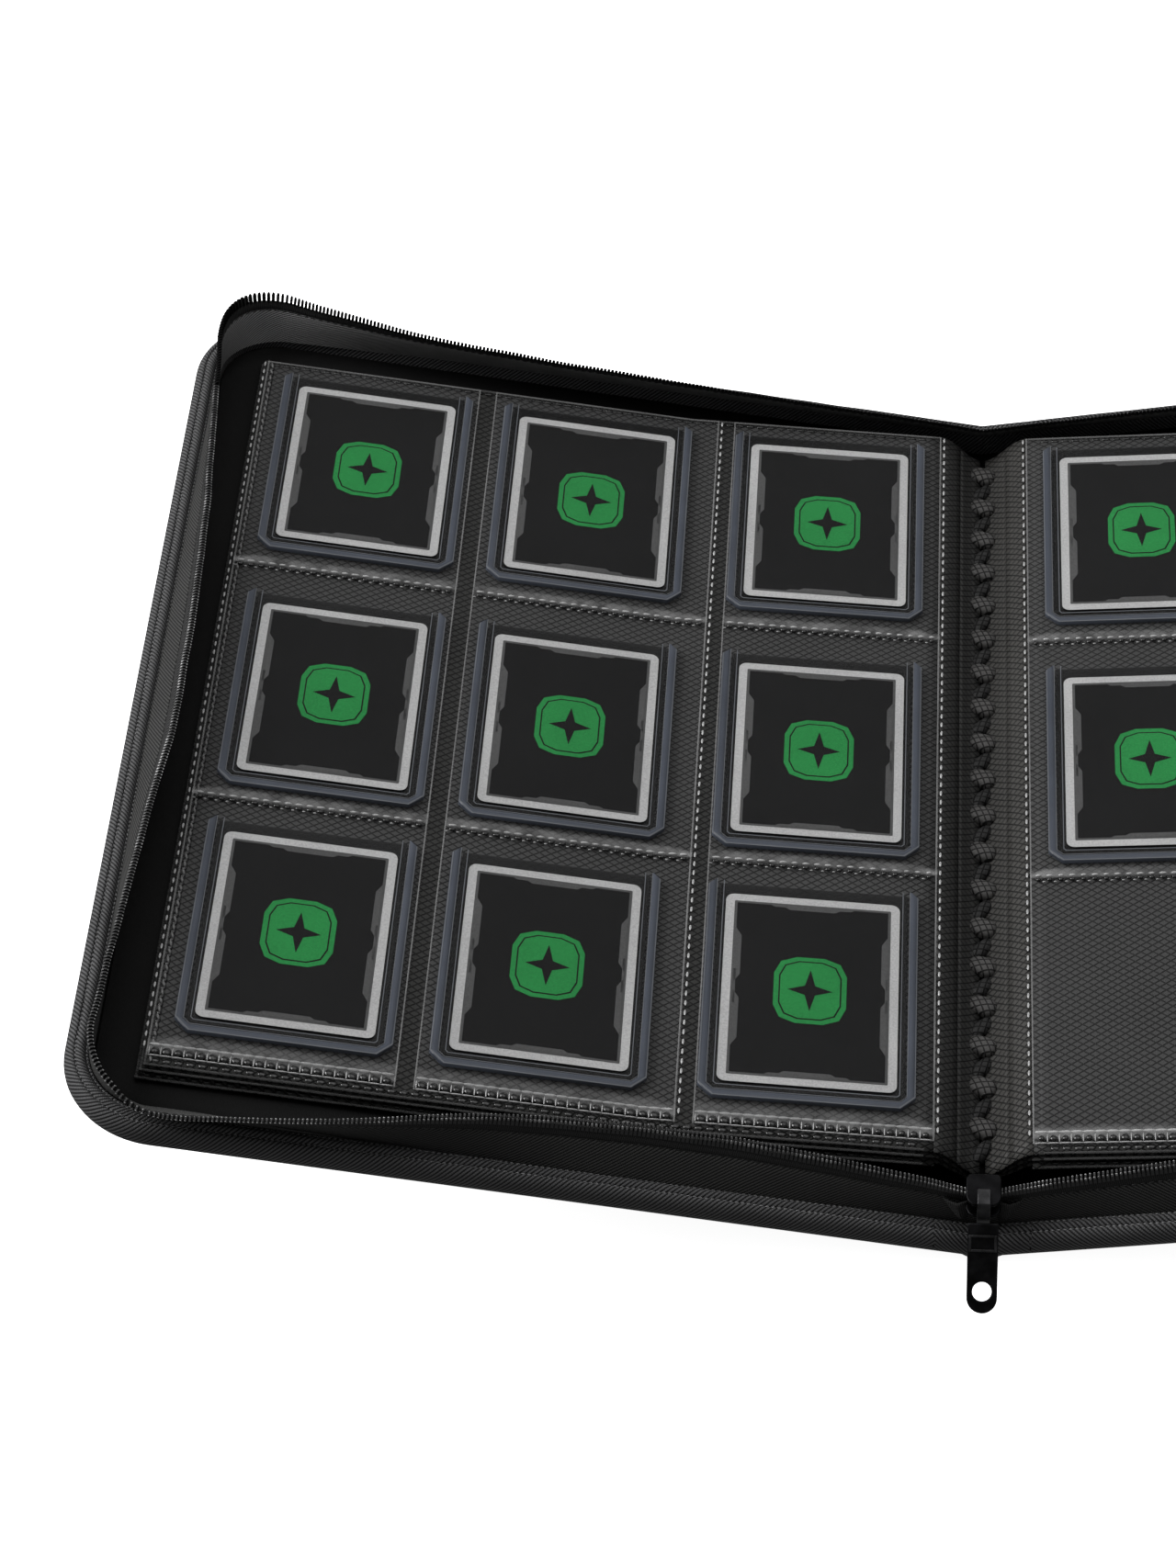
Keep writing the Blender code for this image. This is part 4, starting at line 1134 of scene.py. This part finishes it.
def makeSleeve(side, word, number, row, column):
    start = sleeve["starts"][column]
    top = films["rows"][row][0]
    middle = (start - sleeve["width"] / 2, top - sleeve["height"] / 2)

    def at(x, y, m):
        return onLeaf(side, middle[0] + side * x, middle[1] + y, m)
    seam, thick = sleeve["seam"], sleeve["thick"]
    points, faces, slots, flat = [], [], [], []

    def strip(loops, slotNumber):
        # loops: (outline, height) swept across into one ribbon
        rows, columns = len(loops), len(loops[0][0])
        faces.extend(sheetFaces(rows, columns, False, len(points)))
        slots.extend([slotNumber] * ((rows - 1) * (columns - 1)))
        for outline, m in loops:
            points.extend(at(x, y, m) for x, y in outline)
            flat.extend(outline)
    chamfer, cut = sleeve["chamfer"], sleeve["cut"]
    outer, inner = sleeveLoop(0.0, chamfer, cut), sleeveLoop(seam, chamfer * 0.45)
    strip(((outer, -thick + 0.0002), (outer, -0.0003), (sleeveLoop(0.0003, chamfer, cut * 0.9), 0.0),
           (sleeveLoop(0.0016, chamfer * 0.75, cut * 0.45), 0.00005),
           (sleeveLoop(seam - 0.0003, chamfer * 0.5), 0.0), (inner, -0.0003), (inner, -0.0012)), 0)
    strip(((sleeveLoop(0.0001, chamfer, cut), 0.00006),
           (sleeveLoop(0.0005, chamfer, cut * 0.85), 0.00012)), 1)
    strip(((sleeveLoop(seam - 0.0001, chamfer * 0.5), 0.00006),
           (sleeveLoop(seam + 0.0002, chamfer * 0.45), 0.00006)), 1)
    inset, width = sleeve["lineInset"], sleeve["lineWidth"]
    strip(((sleeveLoop(inset, 0.0010), -0.0005), (sleeveLoop(inset + width, 0.0008), -0.0005)), 1)
    x, y = sleeve["width"] / 2 - 0.0008, sleeve["height"] / 2
    # slot 3 is a dark sheet under the sleeve's inside: painted shade around the card
    for slotNumber, m, inset in ((2, -0.00012, 0.0), (3, -thick + 0.0001, seam)):
        a, b = x - inset, y - 0.0004
        strip([([(-a, level), (0.0, level), (a, level)], m) for level in (-b + 0.004, 0, b)], slotNumber)
    name = f"page{number}Sleeve{row + 1}{column + 1}"
    piece = addPiece(name, points, faces,
                     ["sleeveBand", "sleeveLine", "sleeveClear", "sleevePaintedShade"], flat, slots, 50)
    addRide(piece, word + "_top_leaf", "sleeve_plastic", f"toploader_leaf_{number}_{row + 1}{column + 1}")
    makeCard(word, number, row, column, at)


def roundedLoop(x, y, r, steps):
    loop = []
    for cx, cy, start in ((x - r, y - r, 0), (r - x, y - r, 90), (r - x, r - y, 180), (x - r, r - y, 270)):
        for i in range(steps + 1):
            angle = math.radians(start + 90 * i / steps)
            loop.append((cx + r * math.cos(angle), cy + r * math.sin(angle)))
    return loop


def ornamentLoops(x, y):
    # stepped plates round the field: x and y are the field's half sizes
    loops = []
    for way in (-1, 1):
        right = ((0.56, 0.0), (0.50, 0.0010), (0.36, 0.0010), (0.30, 0.0021))
        left = [(-share, step) for share, step in reversed(right)]
        plate = [left[-1], *right, *left[:-1]]
        loops.append([(share * x, way * (y - step)) for share, step in plate])
        for low, high in ((-0.60, -0.14), (0.14, 0.60)):
            loops.append([(way * x, low * y - 0.004), (way * x, high * y + 0.004),
                          (way * (x - 0.0023), high * y), (way * (x - 0.0023), low * y)])
        loops.append([(way * x, -0.2 * y), (way * x, 0.2 * y),
                      (way * (x - 0.0008), 0.2 * y), (way * (x - 0.0008), -0.2 * y)])
    return loops


def badgeLoops():
    # a plain eight-sided badge with a four-pointed star cut out of it in the field's colour
    x, y = (size / 2 for size in card["badge"])
    outer = roundedLoop(x, y, x * 0.62, 2)
    star = []
    for i in range(8):
        angle, reach = math.pi / 4 * i, (0.62, 0.2)[i % 2]
        star.append((x * reach * math.cos(angle), y * reach * math.sin(angle)))
    ring = [(px * 0.86, py * 0.88) for px, py in outer], [(px * 0.82, py * 0.845) for px, py in outer]
    return outer, ring, star


def makeCard(word, number, row, column, at):
    drop = sleeve["height"] / 2 - card["drop"] - card["height"] / 2
    x, y = card["width"] / 2, card["height"] / 2
    points, faces, slots, flat = [], [], [], []
    base = -sleeve["thick"] / 2

    def plate(loop, layer, slotNumber, hub=None):
        # a thin printed area, fanned from its middle
        level = base + layer * card["layer"]
        start, n = len(points), len(loop)
        cx, cy = hub or (sum(px for px, _ in loop) / n, sum(py for _, py in loop) / n)
        points.append(at(cx, cy + drop, level))
        flat.append((cx, cy))
        for px, py in loop:
            points.append(at(px, py + drop, level))
            flat.append((px, py))
        for i in range(n):
            faces.append((start, start + 1 + i, start + 1 + (i + 1) % n))
            slots.append(slotNumber)
    r = card["corner"]
    plate(roundedLoop(x, y, r, 5), -3, 0)
    plate(roundedLoop(x, y, r, 5), 0, 0)
    a, b = x - card["border"], y - card["border"]
    plate(roundedLoop(a, b, 0.0004, 2), 1, 1)
    c, d = a - card["line"], b - card["line"]
    plate(roundedLoop(c, d, 0.0003, 2), 2, 2)
    for loop in ornamentLoops(c + 0.0002, d + 0.0002):
        plate(loop, 3, 1)
    outer, ring, star = badgeLoops()
    plate(outer, 4, 3, (0, 0))
    plate(ring[0], 5, 2, (0, 0))
    plate(ring[1], 6, 3, (0, 0))
    plate(star, 7, 2, (0, 0))
    piece = addPiece(f"page{number}Card{row + 1}{column + 1}", points, faces,
                     ["silverInk", "greyInk", "fieldInk", "greenInk"], flat, slots, 30)
    addRide(piece, word + "_top_leaf", "card", f"card_leaf_{number}_{row + 1}{column + 1}")


for side, word, number, filled in ((-1, "front", 1, 3), (1, "back", 4, 2)):
    for order in (1, 0):
        makeLowerLeaf(side, word, number + 1 + order, order)
    makeTopBacking(side, word, number)
    makeGutter(side, word, number)
    for column in range(3):
        makeFilm(side, word, number, column, filled)
        for row in range(filled):
            makeSleeve(side, word, number, row, column)
print("pages, films, sleeves and cards ready")


lace = {"half": 0.179, "turns": 38, "level": 0.0138, "length": 0.0066, "breadth": 0.0042,
        "height": 0.0024, "sunk": 0.0004, "lean": 30}


def makeLace():
    # a flat lace wound round the binding: raised turns lean one way, sunken turns the other; the raised
    # turns take a lit copy of the backing and the sunken turns a shaded copy, as painted light and shade
    points, faces, flat, slots = [], [], [], []
    around, rings = 24, (0.0, 0.35, 0.62, 0.82, 0.94, 1.0, 1.0)
    pitch = 2 * lace["half"] / lace["turns"]
    for n in range(lace["turns"]):
        y = -lace["half"] + (n + 0.5) * pitch
        way = 1 if n % 2 else -1
        angle = math.radians(-lace["lean"] if way > 0 else lace["lean"] + 6)
        length, breadth, sunk = (lace[key] * (1.0 if way > 0 else share) for key, share in
                                 (("length", 0.94), ("breadth", 0.8), ("sunk", 0.0)))
        start = len(points)
        for k, ring in enumerate(rings):
            crown = lace["height"] * math.sqrt(max(0.0, 1 - ring ** 2.6))
            rise = crown if k < len(rings) - 1 else -0.0012
            for j in range(around):
                turn = 2 * math.pi * j / around
                px = math.copysign(abs(math.cos(turn)) ** 0.75, math.cos(turn)) * ring * length
                py = math.copysign(abs(math.sin(turn)) ** 0.75, math.sin(turn)) * ring * breadth
                py += 0.12 * px
                tilt = 0.18 * px * way
                x0 = px * math.cos(angle) - py * math.sin(angle)
                y0 = px * math.sin(angle) + py * math.cos(angle)
                up = lace["level"] + rise + tilt * 0.35 + (sunk if way > 0 else -0.0010)
                points.append((x0 * 0.82, y + y0, up))
                flat.append((px + n * 0.013, py))
        block = sheetFaces(len(rings), around, True, start)
        faces += block
        slots += [0 if way > 0 else 1] * len(block)
    piece = addPiece("bindingLace", points, faces, ["laceLit", "laceShaded"], flat, slots, 70)
    addRide(piece, "spine", "leaf_backing", "binding_lace")


makeLace()
repaint("binding_strip", "bindingBase")
print("binding ready")


slider = {"y": -0.2035, "z": 0.0252, "size": (0.012, 0.0135, 0.0013), "gap": 0.0049, "bridge": 0.0046,
          "pivot": (-0.2128, 0.0222), "slope": 41.7, "pull": (0.0104, 0.0306, 0.0018), "hole": 0.0033,
          "holeDrop": 0.0022, "bracket": (-0.0098, -0.0040), "bar": 0.0009}


def addSolid(name, outline, low, high, place, finishNames, bevel, hole=None, turn=None):
    # a flat plate with softened edges; a hole is a second ring joined to the outline
    shape = bmesh.new()
    n = len(outline)
    rings = []
    for z in (low, high):
        rings.append([shape.verts.new((x, y, z)) for x, y in outline])
    for i in range(n):
        j = (i + 1) % n
        shape.faces.new((rings[0][i], rings[0][j], rings[1][j], rings[1][i]))
    if hole:
        holes = [[shape.verts.new((x, y, z)) for x, y in hole] for z in (low, high)]
        for i in range(n):
            j = (i + 1) % n
            shape.faces.new((holes[0][j], holes[0][i], holes[1][i], holes[1][j]))
            shape.faces.new((rings[1][i], rings[1][j], holes[1][j], holes[1][i]))
            shape.faces.new((rings[0][j], rings[0][i], holes[0][i], holes[0][j]))
    else:
        shape.faces.new(rings[1])
        shape.faces.new(list(reversed(rings[0])))
    bmesh.ops.recalc_face_normals(shape, faces=shape.faces)
    matrix = Matrix.Translation(place) @ (turn or Matrix.Identity(4))
    bmesh.ops.transform(shape, matrix=matrix, verts=shape.verts)
    mesh = bpy.data.meshes.new(name)
    shape.to_mesh(mesh)
    shape.free()
    for key in finishNames:
        mesh.materials.append(finishes[key].material)
    piece = bpy.data.objects.new(name, mesh)
    scene.collection.objects.link(piece)
    soft = piece.modifiers.new("soft edges", "BEVEL")
    soft.width, soft.segments, soft.limit_method, soft.angle_limit = bevel, 3, "ANGLE", math.radians(35)
    mesh.polygons.foreach_set("use_smooth", [True] * len(mesh.polygons))
    mesh.set_sharp_from_angle(angle=math.radians(50))
    return piece


def makeSlider():
    width, length, thick = slider["size"]
    x, y, gap = width / 2, length / 2, slider["gap"] / 2
    plate = [(-x, -y * 0.5), (-x * 0.86, -y * 0.8), (-x * 0.6, -y), (x * 0.6, -y), (x * 0.86, -y * 0.8),
             (x, -y * 0.5), (x, y * 0.7), (x * 0.9, y * 0.92), (x * 0.75, y), (-x * 0.75, y),
             (-x * 0.9, y * 0.92), (-x, y * 0.7)]
    centre = (0.0, slider["y"], slider["z"])
    for name, low, high in (("sliderTop", gap, gap + thick), ("sliderBottom", -gap - thick, -gap)):
        piece = addSolid(name, plate, low, high, centre, ["metal"], 0.00045)
        addRide(piece, "slider", "slider_metal", *(["slider_body"] if name == "sliderTop" else []))
    post = [(-x * 0.3, y * 0.2), (-x * 0.15, -y * 0.1), (0.0, -y * 0.3),
            (x * 0.15, -y * 0.1), (x * 0.3, y * 0.2), (0.0, y * 0.9)]
    piece = addSolid("sliderPost", post, -gap - 0.0002, gap + 0.0002, centre, ["metal"], 0.0003)
    addRide(piece, "slider", "slider_metal")
    half = slider["bridge"] / 2
    front, top = -y - 0.0003, gap + thick + 0.0003
    arch = [(front + 0.0065, top), (front + 0.0065, top + 0.0008), (front + 0.0055, top + 0.0013),
            (front + 0.0008, top + 0.0015), (front - 0.0006, top + 0.0011), (front - 0.0013, top),
            (front - 0.0013, -0.0055), (front - 0.0009, -0.0062), (front - 0.0002, -0.0060),
            (front, -0.0054), (front, top)]
    turn = Matrix(((0, 0, 1, 0), (1, 0, 0, 0), (0, 1, 0, 0), (0, 0, 0, 1)))
    bridge = addSolid("sliderBridge", arch, -half, half, centre, ["bridgeMetal"], 0.0004, None, turn)
    addRide(bridge, "slider", "slider_metal", "slider_bridge")


def makePull():
    width, length, thick = slider["pull"]
    r, offset = width / 2, slider["holeDrop"]
    centre = -length + r + offset
    corner = math.degrees(math.atan2(-centre, r))
    angles = sorted([10 * i for i in range(36)] + [corner, 180 - corner])
    outline, hole = [], []
    for degrees in angles:
        c, s = math.cos(math.radians(degrees)), math.sin(math.radians(degrees))
        side = r / max(abs(c), 1e-6)
        reach = min(side, -centre / s if s > 0 else side)
        if centre + reach * s < -length + r:
            # on the rounded tip, whose centre lies a little below the hole's
            drop = offset * s
            reach = -drop + math.sqrt(drop ** 2 - offset ** 2 + r ** 2)
        outline.append((reach * c, centre + reach * s))
        hole.append((slider["hole"] * c, centre + slider["hole"] * s))
    turn = Matrix.Rotation(math.radians(slider["slope"]), 4, "X")
    place = (0.0, *slider["pivot"])
    plate = addSolid("pullPlate", outline, -thick / 2, thick / 2, place, ["pullMetal"], 0.0004, hole, turn)
    addRide(plate, "pull", "slider_metal", "pull_tab")
    low = thick / 2 - 0.0001
    (near, far), bar = slider["bracket"], slider["bar"]
    inner, outer = r - 0.0013, r - 0.0004
    bars = ((-outer, -inner, near, far), (inner, outer, near, far),
            (-inner, inner, near, near + bar), (-inner, inner, far - bar, far))
    for i, (x0, x1, y0, y1) in enumerate(bars):
        edge = [(x0, y0), (x1, y0), (x1, y1), (x0, y1)]
        piece = addSolid(f"pullBracket{i + 1}", edge, low, low + 0.0006, place,
                         ["bridgeMetal"], 0.0002, None, turn)
        addRide(piece, "pull", "slider_metal")


pleat = {"width": 0.0095, "depth": 0.0030, "top": 0.0235, "foot": 0.0125, "edge": -0.2026}


def makePleats():
    # the zip's tape gathers into a pointed pleat on each side of the slider
    for side, word in ((-1, "front"), (1, "back")):
        grid, flat = [], []
        for i in range(9):
            fall = i / 8
            z = pleat["top"] + (pleat["foot"] - pleat["top"]) * fall
            half = pleat["width"] / 2 * (1 - 0.75 * fall)
            row = []
            for j in range(9):
                across = j / 4 - 1
                x = side * (0.0042 + pleat["width"] / 2 + across * half - 0.0020 * fall)
                depth = pleat["depth"] * (1 - abs(across)) ** 0.7
                bulge = depth * math.sin(math.pi * min(1, 0.25 + fall * 0.75))
                y = pleat["edge"] - 0.0012 - bulge - puff((x, z, side), 120, 0.0004)
                row.append((x, y, z))
            grid.append(row)
            flat.append([(x, z) for x, _, z in row])
        piece = addSheet(word + "TapeFold", grid, flat, ["tape"])
        thicken(piece, 0.0005, side)
        addRide(piece, "spine", "wall_fabric")


makePleats()
makeSlider()
makePull()
print("slider and pull ready")
